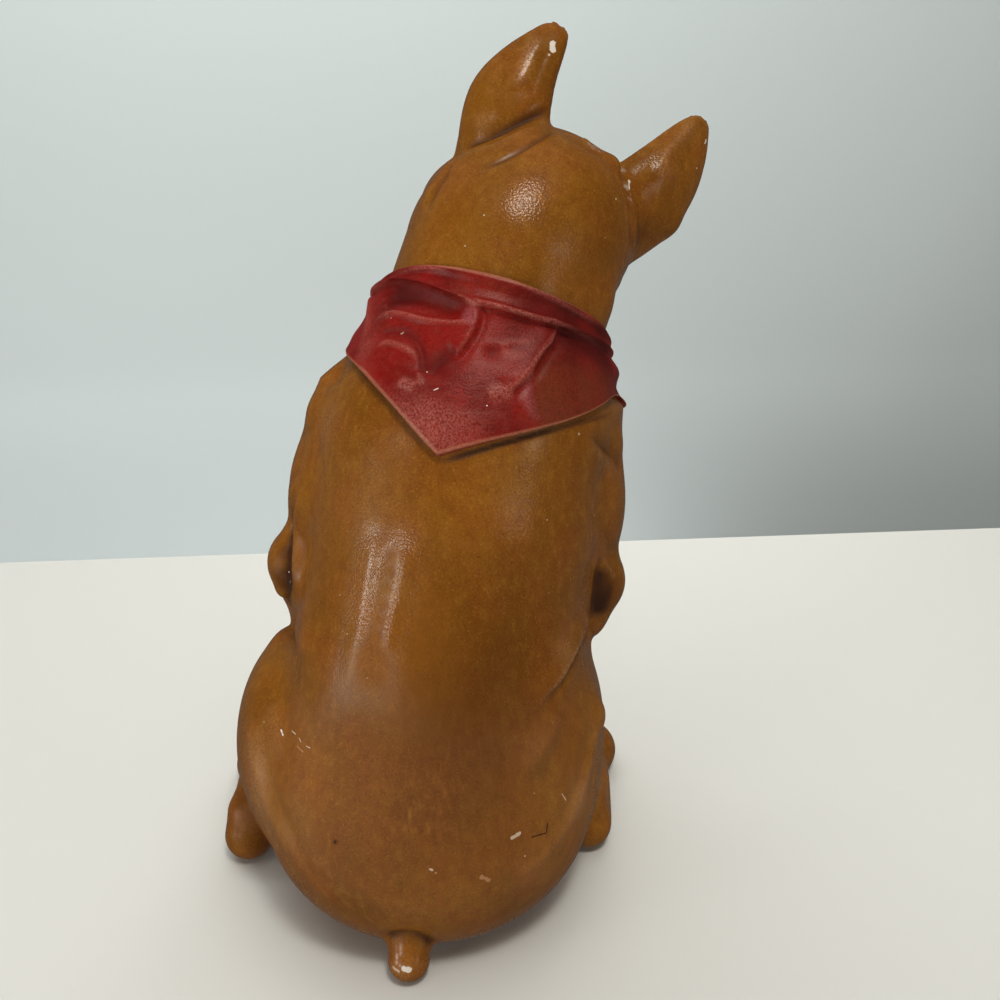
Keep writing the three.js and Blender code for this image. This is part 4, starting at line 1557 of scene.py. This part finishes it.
@dataclass(frozen=True)
class Studio:
    """A plain pale floor, a wall some way behind its far edge, and the light round them."""

    half_width: float = 1.1
    front: float = -1.3
    back: float = 0.40
    wall_at: float = 1.05
    wall_foot: float = -0.8
    wall_top: float = 2.2
    middle: Place = (0.02, 0.0, 0.18)  # of the dog
    floor_shade: Shade = (214, 213, 206)
    wall_shade: Shade = (205, 214, 212)
    sky: Place = (1.0, 0.94, 0.86)
    sky_strength: float = 0.1

    def build(self) -> None:
        """Makes the floor, the wall and the lights."""
        half_depth = (self.back - self.front) / 2
        floor = Matrix.Translation((0, self.front + half_depth, 0))
        floor = floor @ Matrix.Diagonal((self.half_width, half_depth, 1, 1))
        self.surface("floor", self.floor_shade, floor)
        half_height = (self.wall_top - self.wall_foot) / 2
        wall = Matrix.Translation((0, self.wall_at, self.wall_foot + half_height))
        wall = wall @ Matrix.Rotation(math.pi / 2, 4, "X")
        wall = wall @ Matrix.Diagonal((3 * self.half_width, half_height, 1, 1))
        self.surface("wall", self.wall_shade, wall)
        for lamp in LAMPS:
            lamp.build(Vector(self.middle))
        world = bpy.data.worlds.new("world")
        world.use_nodes = True
        background = world.node_tree.nodes["Background"]
        background.inputs["Color"].default_value = (*self.sky, 1.0)
        background.inputs["Strength"].default_value = self.sky_strength
        bpy.context.scene.world = world
        bpy.context.scene.view_settings.view_transform = "Standard"

    @staticmethod
    def surface(name: str, shade: Shade, place: Matrix) -> None:
        """Makes the floor or the wall.

        Args:
            name: Its name.
            shade: Its colour.
            place: Turns, stretches and moves a level square of 2 by 2 metres to where it belongs.
        """
        form = bmesh.new()
        bmesh.ops.create_grid(form, x_segments=1, y_segments=1, size=1.0, matrix=place)
        mesh = mesh_of(form, name)
        matt = Shader(name).finish({"Base Color": colour(shade), "Roughness": 0.9})
        mesh.materials.append(matt)
        piece = bpy.data.objects.new(name, mesh)
        piece.visible_glossy = False
        bpy.context.scene.collection.objects.link(piece)


LAP_HEIGHT = -9.0  # along the neck, where the body and the head meet under the neckerchief
HIDDEN_LAP = 3.0  # how far each goes past that
LAP_ROUNDING = 2.0
SEAT_ROUNDING = 3.0  # of the edge where the dog stands on the floor
FIRST_VOXEL = 1.3  # voxel of the first covering, as a share of the last one's
KNOT_VOXEL = 1.5

LEFT_EAR_WIDTH = Profile((-0.35, 16), (0, 20.5), (0.35, 19.5), (0.7, 13.5), (0.92, 8), (1, 4))
RIGHT_EAR_WIDTH = Profile((-0.35, 18), (0, 25), (0.35, 22.5), (0.7, 15), (0.92, 8), (1, 3))
TAIL = Limb((2, -84, 24), (1, -95, 9), (13, 9), 4)

BACK_STROKES = (
    # left elbow and the flank below it, the creases darkened with painted shade
    Stroke(CREASE, ((296, 505), (291, 532), (288, 563), (288, 590), (290, 606)),
           3.4, 2.0, 0.8, 0, 1.0),
    Stroke(FOLD, ((302, 486), (299, 505), (295, 530), (293, 563), (292, 590), (292, 606)),
           2.8, 1.6, 0, 0.1, 0.8),
    Stroke(CREASE, ((291, 632), (293.3, 648.6), (294.5, 666), (297, 680)), 5, 1.8, 0.2),
    Stroke(CREASE, ((303, 455), (293, 478), (287, 498), (299, 503)), 4, 0.9, 0.25),
    # folds of the left haunch, the creases faintly darkened with painted shade and the ridges paled
    # with wear and painted highlight
    Stroke(RIDGE, ((272, 700), (276, 722), (279.2, 742), (281, 760)), 4, 0.9, 0, 0.25),
    Stroke(RIDGE, ((249, 715), (250, 740), (257, 775), (267.5, 806), (284, 840), (306, 874),
                   (333, 902)), 4.2, 1.0, 0, 0.3),
    Stroke(CREASE, ((262, 715), (263, 745), (270, 778), (283, 815), (300, 845)), 5, 0.9, 0.1),
    # ridges each side of the groove left of the spine, paled a little with wear and painted highlight
    Stroke(RIDGE, ((378, 535), (369, 580), (363, 620), (356, 655), (350, 690)), 4.4, 0.7, 0, 0.1),
    Stroke(RIDGE, ((407, 550), (400, 580), (393, 612), (386, 640), (381, 656)), 3.4, 0.8, 0, 0.1),
    Stroke(CREASE, ((392, 548), (385, 590), (378, 625), (370, 660)), 3.4, 0.6),
    # right elbow: the notch of the shoulder, the pocket and the torso's edge over it, darkened with
    # painted shade in the notch and the pocket
    Stroke(CREASE, ((590, 434), (603, 447), (614, 460), (621, 472)), 3.4, 1.8, 0.35),
    Stroke(RIDGE, ((586, 440), (598, 452), (608, 466), (613, 480)), 3.0, 0.7, 0, 0.25),
    Stroke(CREASE, ((592, 512), (600, 530), (610, 546), (618, 557)), 3.4, 1.0, 0.15),
    Stroke(CREASE, ((606, 568), (602, 582), (600, 600), (597, 618)), 5.0, 3.2, 0.9, 0, 1.0),
    Stroke(CREASE, ((614, 584), (608, 600), (601, 616)), 3.0, 1.2, 0.6, 0, 1.0),
    Stroke(FOLD, ((538, 706), (547, 692), (557, 680), (568, 662), (577, 643), (583, 624), (587, 604),
                  (589, 586), (593, 568), (600, 553)), 3.0, 2.4, 0, 0.35, 0.8),
    Stroke(CREASE, ((585, 636), (575, 656), (565, 674)), 2.8, 1.2, 0.55, 0, 1.0),
    Stroke(RIDGE, ((600, 554), (608, 566), (616, 580)), 1.6, 0.8, 0, 0.4),
    # folds of the right haunch, the creases faintly darkened with painted shade and the ridges paled
    # with wear and painted highlight
    Stroke(RIDGE, ((556.3, 711.5), (551.6, 730.6), (538.8, 753), (524, 775)), 5, 1.1, 0, 0.2),
    Stroke(CREASE, ((562, 742), (551, 766), (538, 790)), 5, 0.8, 0.1),
    Stroke(RIDGE, ((600, 705), (594, 740), (584, 785), (570, 820), (548, 850), (522, 876)),
           4.2, 1.0, 0, 0.25),
    Stroke(CREASE, ((590, 730), (583, 765), (572, 800), (556, 828)), 4.5, 0.8, 0.1),
    # the crease at the root of the tail, darkened with painted shade
    Stroke(CREASE, ((386, 938), (398, 934), (412, 934), (424, 938), (434, 946)), 3.0, 1.4, 0.5),
    # where the coat meets the hem, with a painted shadow under the hem
    Stroke(CREASE, ((352, 362), (373, 386), (392, 409), (411, 431), (431, 452), (444, 463)),
           1.6, 0.3, 0.6, 0, 0.9),
    Stroke(CREASE, ((440, 463), (469, 454), (498, 445), (526, 437), (556, 428)),
           1.4, 0.5, 1.2, 0, 1.0),
    Stroke(CREASE, ((540, 433), (570, 425), (595, 419), (612, 414)), 1.4, 0.3, 0.7, 0, 1.0),
)

BACK_DABS = (
    Dab((316, 410), 11, 3.8),
    Dab((332, 374), 8, -4.2),
    Dab((301, 446), 9, -1.6),
    Dab((294, 500), 9, 1.6),
    Dab((592, 626), 10, 4.6),
    Dab((288, 633), 9, 3.0),
    Dab((598, 712), 9, 3.0),
    Dab((616, 446), 9, 2.6),
    Dab((606, 752), 10, -1.6),
    Dab((604, 820), 8, -1.6),
    Dab((284, 592), 5, 2.4),
    # a bump with painted sheen on it, and two dents in the elbow pockets darkened with painted shade
    Dab((304, 642), 7, 1.4, "dust_and_sheen", 0.5),
    Dab((600, 598), 9, -0.6, "shade", 1.5),
    Dab((285, 580), 7, -0.8, "shade", 2.0),
)

BACK_STAINS = {
    "dull": (
        (350, 790, 38, 1.0), (430, 850, 42, 1.0), (540, 830, 36, 0.7), (300, 556, 9, 0.8),
        (284, 566, 7, 0.8), (246, 818, 8, 0.7),
        # the gap between the two bright streaks left of the spine
        (392, 556, 3.1, 0.7), (390, 572, 3.1, 0.8), (386, 588, 3.1, 0.8), (382, 604, 3.1, 0.8),
        (379, 620, 3.1, 0.8), (376, 636, 3.1, 0.8), (373, 652, 4.5, 0.8), (372, 668, 8, 0.8),
    ),
    # painted shade: the middle and right of the back, the rump and the elbow pockets lie darker
    "shade": (
        (460, 700, 36, 0.4), (510, 620, 30, 0.3), (332, 606, 16, 0.3), (460, 812, 42, 0.4),
        (390, 800, 44, 0.4), (496, 655, 34, 0.25), (500, 800, 30, 0.25), (500, 680, 26, 0.2),
        (466, 756, 28, 0.15), (607, 578, 7, 0.8), (288, 600, 5, 1.2), (287, 552, 5, 1.2),
    ),
    "brushed": ((420, 815, 13, 0.8), (460, 760, 30, 0.3)),
    "pebbly": (
        (507, 510, 24, 1.0), (430, 500, 26, 0.5), (394, 575, 18, 0.55), (366, 625, 18, 0.45),
        (340, 440, 26, 0.5), (455, 650, 24, 0.4), (365, 610, 22, 0.25), (570, 580, 16, 0.3),
    ),
    # dusty paling, and painted sheen on the haunches and the upper left of the back where they catch
    # the light
    "dust_and_sheen": (
        (262, 745, 16, 0.5), (258, 798, 16, 0.9), (300, 715, 13, 0.6), (565, 650, 9, 1.0),
        (582, 800, 12, 0.9), (385, 515, 22, 0.4), (345, 500, 24, 0.4), (325, 425, 15, 0.5),
        (525, 878, 12, 0.5), (590, 720, 11, 0.4), (362, 610, 12, 0.45), (346, 668, 10, 0.3),
        (396, 590, 9, 0.35), (507, 510, 11, 0.5), (402, 440, 7, 0.9), (330, 415, 12, 0.35),
        (500, 463, 8, 0.4), (612, 500, 9, 0.3), (572, 615, 8, 0.35), (533, 725, 13, 0.35),
        (403, 968, 6, 0.8),
    ),
    "gold": ((420, 600, 16, 0.7), (424, 660, 16, 0.9), (424, 715, 16, 0.8), (575, 740, 14, 0.6)),
    # two dark spots low on the back, of soiling and painted shade
    "grime_and_shade": ((241, 800, 8, 0.4), (335, 842, 2.4, 0.5)),
}

HEAD_STROKES = (
    # the crease under the left ear, the roll below it and the second crease; the creases darkened with
    # painted shade and the roll paled with painted highlight
    Stroke(CREASE, ((461, 148), (474, 143), (487, 138), (513, 125), (533, 117), (550, 111),
                    (557, 108)), 2.6, 2.4, 0.7, 0, 1.0),
    Stroke(RIDGE, ((466, 154), (490, 149), (514, 138), (536, 127), (553, 119)),
           3.2, 1.5, 0, 0.3, 0.9),
    Stroke(CREASE, ((480, 169), (495, 163), (512, 155), (533, 143), (550, 132), (558, 122)),
           2.0, 1.4, 0.6, 0, 1.0),
    # the flat keel of the left ear, paled with painted highlight and wear, with the dip beside it
    Stroke(RIDGE, ((537, 34), (528, 49), (520, 69), (513, 91)), 2.2, 0.8, 0, 0.5, 1.2),
    Stroke(RIDGE, ((544, 36), (536, 50), (528, 70), (520, 86)), 2.2, 0.8, 0, 0.45, 1.2),
    Stroke(CREASE, ((548, 50), (541, 66), (534, 84), (531, 98)), 3.4, 0.6, 0.15),
    Stroke(CREASE, ((512, 52), (500, 72), (492, 96)), 5.0, 0.9, 0.1),
    # the keel of the right ear, paled with painted highlight, and the hollow in front of it
    Stroke(RIDGE, ((697, 120), (684, 134), (672, 148), (662, 164), (657, 180)),
           2.6, 1.1, 0, 0.4, 1.1),
    Stroke(CREASE, ((700, 136), (690, 152), (682, 172), (672, 196)), 4.0, 0.8, 0.1),
    # round the right ear's root, darkened with painted shade
    Stroke(CREASE, ((613, 156), (618, 164), (623, 180), (629, 197), (632, 217), (632, 252)),
           2.4, 2.4, 0.5, 0, 1.1),
    # the crown between the ears: a ridge paled with wear and painted highlight, and a crease darkened
    # with painted shade
    Stroke(RIDGE, ((558, 119), (567, 125), (577, 133), (586, 139), (597, 144), (612, 152)),
           1.8, 1.1, 0, 0.5, 1.0),
    Stroke(CREASE, ((560, 128), (572, 139), (590, 150), (608, 160)), 2.4, 0.7, 0.3, 0, 1.0),
    # the cheek behind the left side of the head, the crease darkened with painted shade
    Stroke(CREASE, ((458, 157), (450, 168), (441, 182), (431, 198), (423, 214)),
           2.4, 1.9, 0.5, 0, 1.0),
)

HEAD_DABS = (
    # the bulge at the left ear's root, with a painted sheen on it
    Dab((484, 124), 5.5, 2.0, "dust_and_sheen", 0.9),
    Dab((672, 226), 8, 2.6),
    Dab((606, 302), 12, 2.8),
    Dab((452, 157), 6, -2.8),
    Dab((575, 131), 2.6, 0.9),
    Dab((599, 146), 3.0, 1.0),
    Dab((613, 163), 6, 2.6),
    Dab((667, 177), 6, 0.9, "dust_and_sheen", 0.3),
    Dab((566, 125), 2.2, 0.8),
    Dab((586, 141), 2.4, 0.9),
    Dab((452, 168), 6, 1.4),
    Dab((432, 186), 6, 1.0),
)

HEAD_STAINS = {
    "pebbly": (
        (665, 165, 15, 0.9), (696, 124, 9, 0.8), (524, 198, 18, 0.9), (566, 245, 16, 1.0),
        (470, 250, 18, 0.4), (520, 60, 14, 0.5),
    ),
    # painted shade on the right of the head, under the right ear and on the left ear
    "shade": (
        (470, 90, 8, 0.5), (548, 80, 7, 0.5), (640, 232, 9, 1.0), (610, 215, 14, 0.4),
        (590, 264, 18, 0.6),
    ),
    # painted sheen on the head and the ears where they catch the light, with some dusty paling
    "dust_and_sheen": (
        (566, 248, 10, 0.6), (420, 215, 10, 0.4), (402, 262, 8, 0.35), (507, 45, 12, 0.5),
        (480, 225, 22, 0.25), (668, 168, 6, 0.4), (690, 135, 8, 0.4),
    ),
    "lime": (
        (562, 124, 4, 0.5), (575, 134, 5, 0.6), (594, 147, 6, 0.65), (607, 154, 5, 0.6),
        (614, 157, 4, 0.6), (621, 170, 3, 0.75), (626, 186, 3, 0.8), (631, 200, 3, 0.7),
    ),
    "gold": ((700, 180, 8, 0.5), (455, 215, 14, 0.7)),
}

WHITE, PALE, TAN, DARK = (226, 218, 204), (196, 176, 150), (168, 122, 84), (34, 16, 8)

BLEMISHES = (
    # chips of the ears and the tail
    Blemish((553, 43), 1.5, WHITE, (552.5, 50), 1.2, 1.2),
    Blemish((549, 55), 0.6, PALE),
    Blemish((629, 181), 0.9, WHITE, (629, 188), 1.0, 1.0),
    Blemish((706, 140), 0.55, WHITE, (705, 143), 0.6),
    Blemish((697, 168), 0.4, WHITE),
    Blemish((404, 969), 1.5, WHITE, (409, 970), 1.0, 1.2),
    Blemish((394, 968), 0.8, PALE, (398, 971), 0.4, 2.4),
    # scuffs of the left haunch
    Blemish((281, 730), 0.45, WHITE, (283, 735), 0.5),
    Blemish((292, 731), 0.27, PALE, (295.5, 734), 0.3),
    Blemish((299, 738), 0.3, PALE, (301, 742), 0.3),
    Blemish((306, 746), 0.26, PALE, (310, 748), 0.3),
    Blemish((297, 746), 0.3, TAN, (303, 752)),
    Blemish((264, 722), 0.45, PALE),
    Blemish((239, 775), 0.4, PALE),
    Blemish((289, 572), 0.35, WHITE),
    Blemish((290.5, 582), 0.3, WHITE),
    # scratches and spots low on the back
    Blemish((512, 838), 0.8, PALE, (520, 833), 0.5, 2.2),
    Blemish((547.5, 824), 0.42, DARK, (546.5, 832), 0.2),
    Blemish((546, 833), 0.42, DARK, (532, 837), 0.2),
    Blemish((335, 842), 0.9, DARK),
    Blemish((430, 869), 0.5, PALE, (432, 870)),
    Blemish((436, 873), 0.5, TAN),
    Blemish((482, 877), 1.0, TAN, (489, 880), 0.3, 2.4),
    Blemish((525, 856), 0.5, PALE),
    Blemish((562, 794), 0.3, PALE, (566, 800), 0.2),
    Blemish((579, 434), 0.5, PALE),
    Blemish((547, 520), 0.4, PALE),
    Blemish((512, 563), 0.5, DARK),
    Blemish((340, 595), 0.35, PALE),
    Blemish((347, 634), 0.35, PALE),
    Blemish((484, 215), 0.4, PALE),
    Blemish((465, 246), 0.4, PALE),
    Blemish((616, 199), 0.45, WHITE),
)

SCARF_BLEMISHES = (
    Blemish((434, 390), 0.26, WHITE, (438, 388.4), 0.0, 0.8),
    Blemish((427, 372), 0.4, PALE),
    Blemish((487, 405.6), 0.34, WHITE),
    Blemish((401, 334), 0.28, PALE, (403.5, 332.4)),
    Blemish((391, 318), 0.35, PALE),
)


def face_strokes(head: Head) -> list[Stroke]:
    """The lids, mouth and furrows of the dog's face; the creases are darkened with painted shade and
    the lids paled with painted highlight.

    Args:
        head: The head that they lie on.

    Returns:
        The strokes.
    """

    def on_head(line: Sequence[Place], side: int = 1) -> tuple[Place, ...]:
        """A line of the right side of the face, on the side that is wanted."""
        return tuple(head.place(side * right, ahead, up) for right, ahead, up in line)

    strokes = []
    for side in SIDES:
        strokes += [
            Stroke(CREASE, on_head(LIP, side), 1.6, 1.8, 0.7, 0, 1.2),
            Stroke(RIDGE, on_head(UPPER_LID, side), 1.7, 1.3, 0, 0.3),
            Stroke(RIDGE, on_head(LOWER_LID, side), 1.4, 0.8, 0, 0.2),
            Stroke(CREASE, on_head(((9, 46, 2), (6, 50, -2), (5, 56, -4)), side), 3.0, 0.8, 0.3),
            Stroke(CREASE, on_head(((27, 34, -4), (30, 32, -14), (28, 38, -26)), side), 3.0, 0.9, 0.2),
        ]
    furrow = on_head(((0, 46, 4), (0, 43, 16), (0, 38, 26)))
    philtrum = on_head(((0, 84, -12), (0, 83, -18), (0, 80, -26)))
    return [
        *strokes,
        Stroke(CREASE, furrow, 3.4, 1.2, 0.1),
        Stroke(CREASE, philtrum, 1.2, 1.2, 0.5, 0, 1.2),
    ]


def face_dabs(head: Head) -> list[Dab]:
    """The dark nose and eyes, and the nostrils and whisker pits, sunk and darkened with painted shade.
    """
    dabs = [Dab(head.place(0, 84, -6), 8.5, 0, "dark", 1.6)]
    for side in SIDES:
        dabs += [
            Dab(head.place(side * 4, 84, -8), 1.8, -1.8, "grime_and_shade", 1.0),
            Dab(head.place(side * 18, 43, 3), 4.6, 0, "dark", 1.5),
        ]
        dabs += [
            Dab(head.place(side * right, ahead, up), 1.0, -0.5, "grime_and_shade", 0.6)
            for right, ahead, up in ((16, 68, -16), (18, 62, -18), (17, 66, -21), (19, 59, -22))
        ]
    return dabs


SCARF_STROKES = (
    # the hollow under the band, the ridge below it and the pulled fold that closes it on the right; the
    # hollow darkened with painted shade, the ridge and fold paled with wear and painted highlight
    Stroke(CREASE, ((380, 306), (386, 297), (398, 295), (414, 296), (430, 300), (446, 305), (460, 310),
                    (468, 314)), 5.4, 4.4, 0.6, 0, 1.0),
    Stroke(RIDGE, ((377, 320), (392, 313), (410, 316), (420, 319), (434, 321), (452, 322), (474, 325)),
           1.7, 1.6, 0, 1.0, 0.8),
    Stroke(FOLD, ((455, 358), (462, 347), (469, 337), (475, 325), (477, 314), (476.5, 302)),
           2.0, 1.9, 0, 0.4, 0.7),
    Stroke(RIDGE, ((390, 280), (379, 288), (371, 300), (369, 314), (367, 328), (361, 342)),
           2.8, 1.1, 0, 0.6, 0.9),
    # the crease below the ridge, with a soft lip under it; the crease darkened with painted shade and
    # the lip paled with painted highlight
    Stroke(CREASE, ((374, 334), (390, 331), (404, 332), (414, 338), (420, 348), (422, 362),
                    (425, 378)), 3.2, 2.2, 0.5, 0, 1.0),
    Stroke(RIDGE, ((377, 346), (388, 343), (399, 346), (410, 351), (417, 358), (419, 367)),
           1.8, 1.2, 0, 0.9, 1.0),
    # the valley between the bulge and the middle, darkened with painted shade, and two small ridges
    # paled with wear and painted highlight
    Stroke(CREASE, ((455, 347), (446, 355), (437, 364), (429, 376)), 5.0, 2.2, 0.5, 0, 1.0),
    Stroke(RIDGE, ((398, 381), (407, 384), (415, 388)), 1.8, 0.8, 0, 1.0, 1.1),
    Stroke(RIDGE, ((418, 371), (420, 379), (418, 386)), 1.5, 0.8, 0, 0.8, 1.0),
    # the big fold on the right, its crest paled with painted highlight and wear, and the dent beside it
    Stroke(FOLD, ((507, 391), (519, 381), (528, 371), (534, 362), (541, 351), (549, 341), (556, 326)),
           2.6, 2.4, 0, 1.2, 0.5),
    Stroke(RIDGE, ((484, 344), (498, 344), (511, 347)), 1.6, 0.5, 0, 0.5),
    Stroke(RIDGE, ((532, 368), (528, 386), (527, 403), (533, 418)), 2.4, 0.7, 0, 0.4, 0.8),
    # soft rolls along the hem, paled with wear and painted highlight
    Stroke(RIDGE, ((358, 367), (376, 383), (395, 401), (412, 421), (430, 441), (441, 452)),
           3.0, 0.8, 0, 0.4, 1.1),
    Stroke(RIDGE, ((439, 420), (475, 421), (505, 423), (522, 429)), 3.6, 0.7, 0, 0.15),
    # the pale edge on top of the band and the lip below it, paled with wear and painted highlight, and
    # a crease under the lip darkened with painted shade
    Stroke(RIDGE, ((390, 276), (403, 272), (421, 267.5), (443, 267), (465, 269.5), (487, 274),
                   (515, 282), (547, 296), (575, 311), (599, 325), (609, 334)),
           1.3, 0.5, 0, 1.0, 1.0),
    Stroke(RIDGE, ((396, 281), (415, 285), (430, 289), (450, 295), (470, 301.5), (500, 307),
                   (520, 313), (540, 319), (556, 322), (580, 334), (600, 346), (613, 353)),
           1.4, 0.9, 0, 1.1, 0.9),
    Stroke(CREASE, ((424, 294), (440, 298), (455, 302)), 0.9, -0.4, 0, 1.1, 1.0),
    Stroke(CREASE, ((556, 330), (580, 342), (600, 354), (612, 362)), 3.0, 0.7, 0.5, 0, 1.2),
    # brushed wear and painted highlight in front of the big fold and on the band
    Stroke(RIDGE, ((505, 341), (522, 342), (538, 343)), 1.2, 0.15, 0, 0.7, 1.4),
    Stroke(RIDGE, ((498, 352), (515, 355), (530, 356)), 1.6, 0.15, 0, 0.6, 1.4),
    Stroke(RIDGE, ((488, 396), (500, 392), (514, 390)), 2.6, 0.3, 0, 1.1, 1.5),
    Stroke(RIDGE, ((436, 294), (458, 300), (482, 304)), 0.8, 0, 0, 0.3, 2.4),
)

SCARF_DABS = (
    Dab((392, 362), 8, 1.6),
    Dab((463, 336), 7, 0.8),
    # a small dent darkened with painted shade
    Dab((493, 352), 3.6, -1.0, "grime_and_shade", 0.5),
)

SCARF_STAINS = {
    # purple-grey scuffs, partly a painted sheen where planes of the cloth catch the light
    "scuff_and_sheen": (
        (470, 314, 3.6, 1.0), (468, 320, 2.6, 0.7), (529, 376, 2.2, 0.5), (528, 386, 2.6, 0.6),
        (527, 397, 3.2, 0.7), (530, 408, 3.2, 0.6), (536, 417, 2.4, 0.4),
    ),
    # wear and painted highlight along the hem and on the bulges
    "rub_and_highlight": (
        (428, 412, 6, 0.5), (404, 385, 4, 0.4), (452, 438, 16, 0.8), (372, 322, 12, 0.35),
        (415, 402, 7, 0.3), (366, 345, 7, 0.3), (420, 425, 12, 0.3), (362, 358, 8, 0.4),
    ),
    "worn": (
        (575, 395, 16, 1.2), (560, 385, 10, 0.6), (608, 385, 12, 0.9), (555, 408, 12, 0.8),
        (500, 293, 8, 0.5), (460, 290, 6, 0.5),
    ),
    # painted shade on the right of the band, under its lip and in the hollows, with some soiling
    "grime_and_shade": (
        (600, 332, 14, 0.9), (565, 316, 10, 0.7), (535, 300, 9, 0.5), (575, 355, 11, 0.6),
        (605, 365, 10, 0.6), (400, 296, 9, 0.4), (440, 360, 6, 0.3), (500, 330, 9, 0.3),
    ),
}


def stained(stains: dict[str, tuple[Stain, ...]]) -> list[Dab]:
    """The dabs that only stain."""
    return [
        Dab((x, y), radius, 0, stain, amount)
        for stain, spots in stains.items() for x, y, radius, amount in spots
    ]


def sculpted(
    name: str, lumps: Iterable[Ball | Limb | Ear], shape: Callable[[Points], np.ndarray], voxel: float
) -> Sculpture:
    """Fuses lumps into one skin of quads and settles it on a shape.

    Args:
        name: The name of the piece.
        lumps: The lumps.
        shape: Gives the distance of points to the skin that is wanted.
        voxel: The size of a quad before each is divided in four.

    Returns:
        The piece, before any tool has touched it.
    """
    rough = bmesh.new()
    for lump in lumps:
        lump.press(rough)
    piece = Sculpture(name, mesh_of(rough, name))
    for size in (voxel * FIRST_VOXEL, voxel):
        piece.evened(size)
        piece.settle(shape)
    piece.divided()
    piece.settle(shape, 1)
    return piece


def build_coat(
    head: Head, scarf: Neckerchief, body: Sequence[Ball | Limb], ears: Sequence[Ear]
) -> None:
    """Builds the dog's body and head, which meet under the neckerchief.

    Args:
        head: The head.
        scarf: The neckerchief.
        body: The lumps of the body, with the neck as the last one.
        ears: The ears.
    """
    neck = scarf.neck
    clay = Clay([*body, *head.lumps(), *ears])

    def trunk_shape(points: Points) -> np.ndarray:
        """The trunk up to the lap under the neckerchief, flat below."""
        above = neck.height(points) - LAP_HEIGHT - HIDDEN_LAP
        return cut(cut(clay.distance(points), -points[:, 2], SEAT_ROUNDING), above, LAP_ROUNDING)

    def head_shape(points: Points) -> np.ndarray:
        """The head and neck down to the lap."""
        below = LAP_HEIGHT - HIDDEN_LAP - neck.height(points)
        return cut(clay.distance(points), below, LAP_ROUNDING)

    trunk = sculpted("dog_body", body, trunk_shape, 3.4)
    trunk.work(BACK_STROKES)
    trunk.dab([*BACK_DABS, *stained(BACK_STAINS)])
    trunk.read_relief()
    trunk.points[:, 2] = np.maximum(trunk.points[:, 2], 0.0)
    skull = sculpted("dog_head", [body[-1], *head.lumps(), *ears], head_shape, 2.2)
    skull.work([*HEAD_STROKES, *face_strokes(head)])
    skull.dab([*HEAD_DABS, *stained(HEAD_STAINS), *face_dabs(head)])
    skull.read_relief()
    coats = (trunk, skull)
    for piece in coats:
        scarf.tuck(piece)
    skins = [piece.tree() for piece in coats]
    brown = BrownPaint(blemishes=tuple(blemish.placed(skins) for blemish in BLEMISHES)).material()
    for piece in coats:
        piece.finished(brown, "brown_paint")


def build_neckerchief(scarf: Neckerchief) -> None:
    """Builds the neckerchief and its knot.

    Args:
        scarf: How the cloth lies round the neck.
    """
    cloth = Sculpture("neckerchief", scarf.ring_of_cloth())
    scarf.lay(cloth)
    cloth.dab([*SCARF_DABS, *stained(SCARF_STAINS)])
    cloth.work(SCARF_STROKES)
    for _ in range(2):
        scarf.lift_off(cloth)
    cloth.read_relief()
    skin = [cloth.tree()]
    red = RedPaint(blemishes=tuple(blemish.placed(skin) for blemish in SCARF_BLEMISHES)).material()
    cloth.finished(red, "red_paint")

    knot = Sculpture("neckerchief_knot", Knot(scarf.neck).mesh())
    knot.evened(KNOT_VOXEL)
    knot.points = knot.smoothed(knot.points, 4)
    knot.read_relief()
    knot.finished(red, "red_paint")


def main() -> None:
    """Builds the dog, its neckerchief and the studio round them."""
    logging.basicConfig(level=logging.INFO, format="%(message)s")
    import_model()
    CAMERA.build()
    Studio().build()

    head = Head()
    ears = [
        Ear(head, -1, 60.5, -1, 6, -0.45, LEFT_EAR_WIDTH),
        Ear(head, 1, 58, 17, 3, 0.3, RIGHT_EAR_WIDTH),
    ]
    neck_lump = Limb((sway(226) - 1, 4, 228), (56, 24, 290), (52, 48), 20)
    body = [*trunk_lumps(), *leg_lumps(-1), *leg_lumps(1), TAIL, neck_lump]
    scarf = Neckerchief(Neck(Clay([*body, *head.lumps()])))
    build_coat(head, scarf, body, ears)
    build_neckerchief(scarf)


if __name__ == "__main__":
    main()
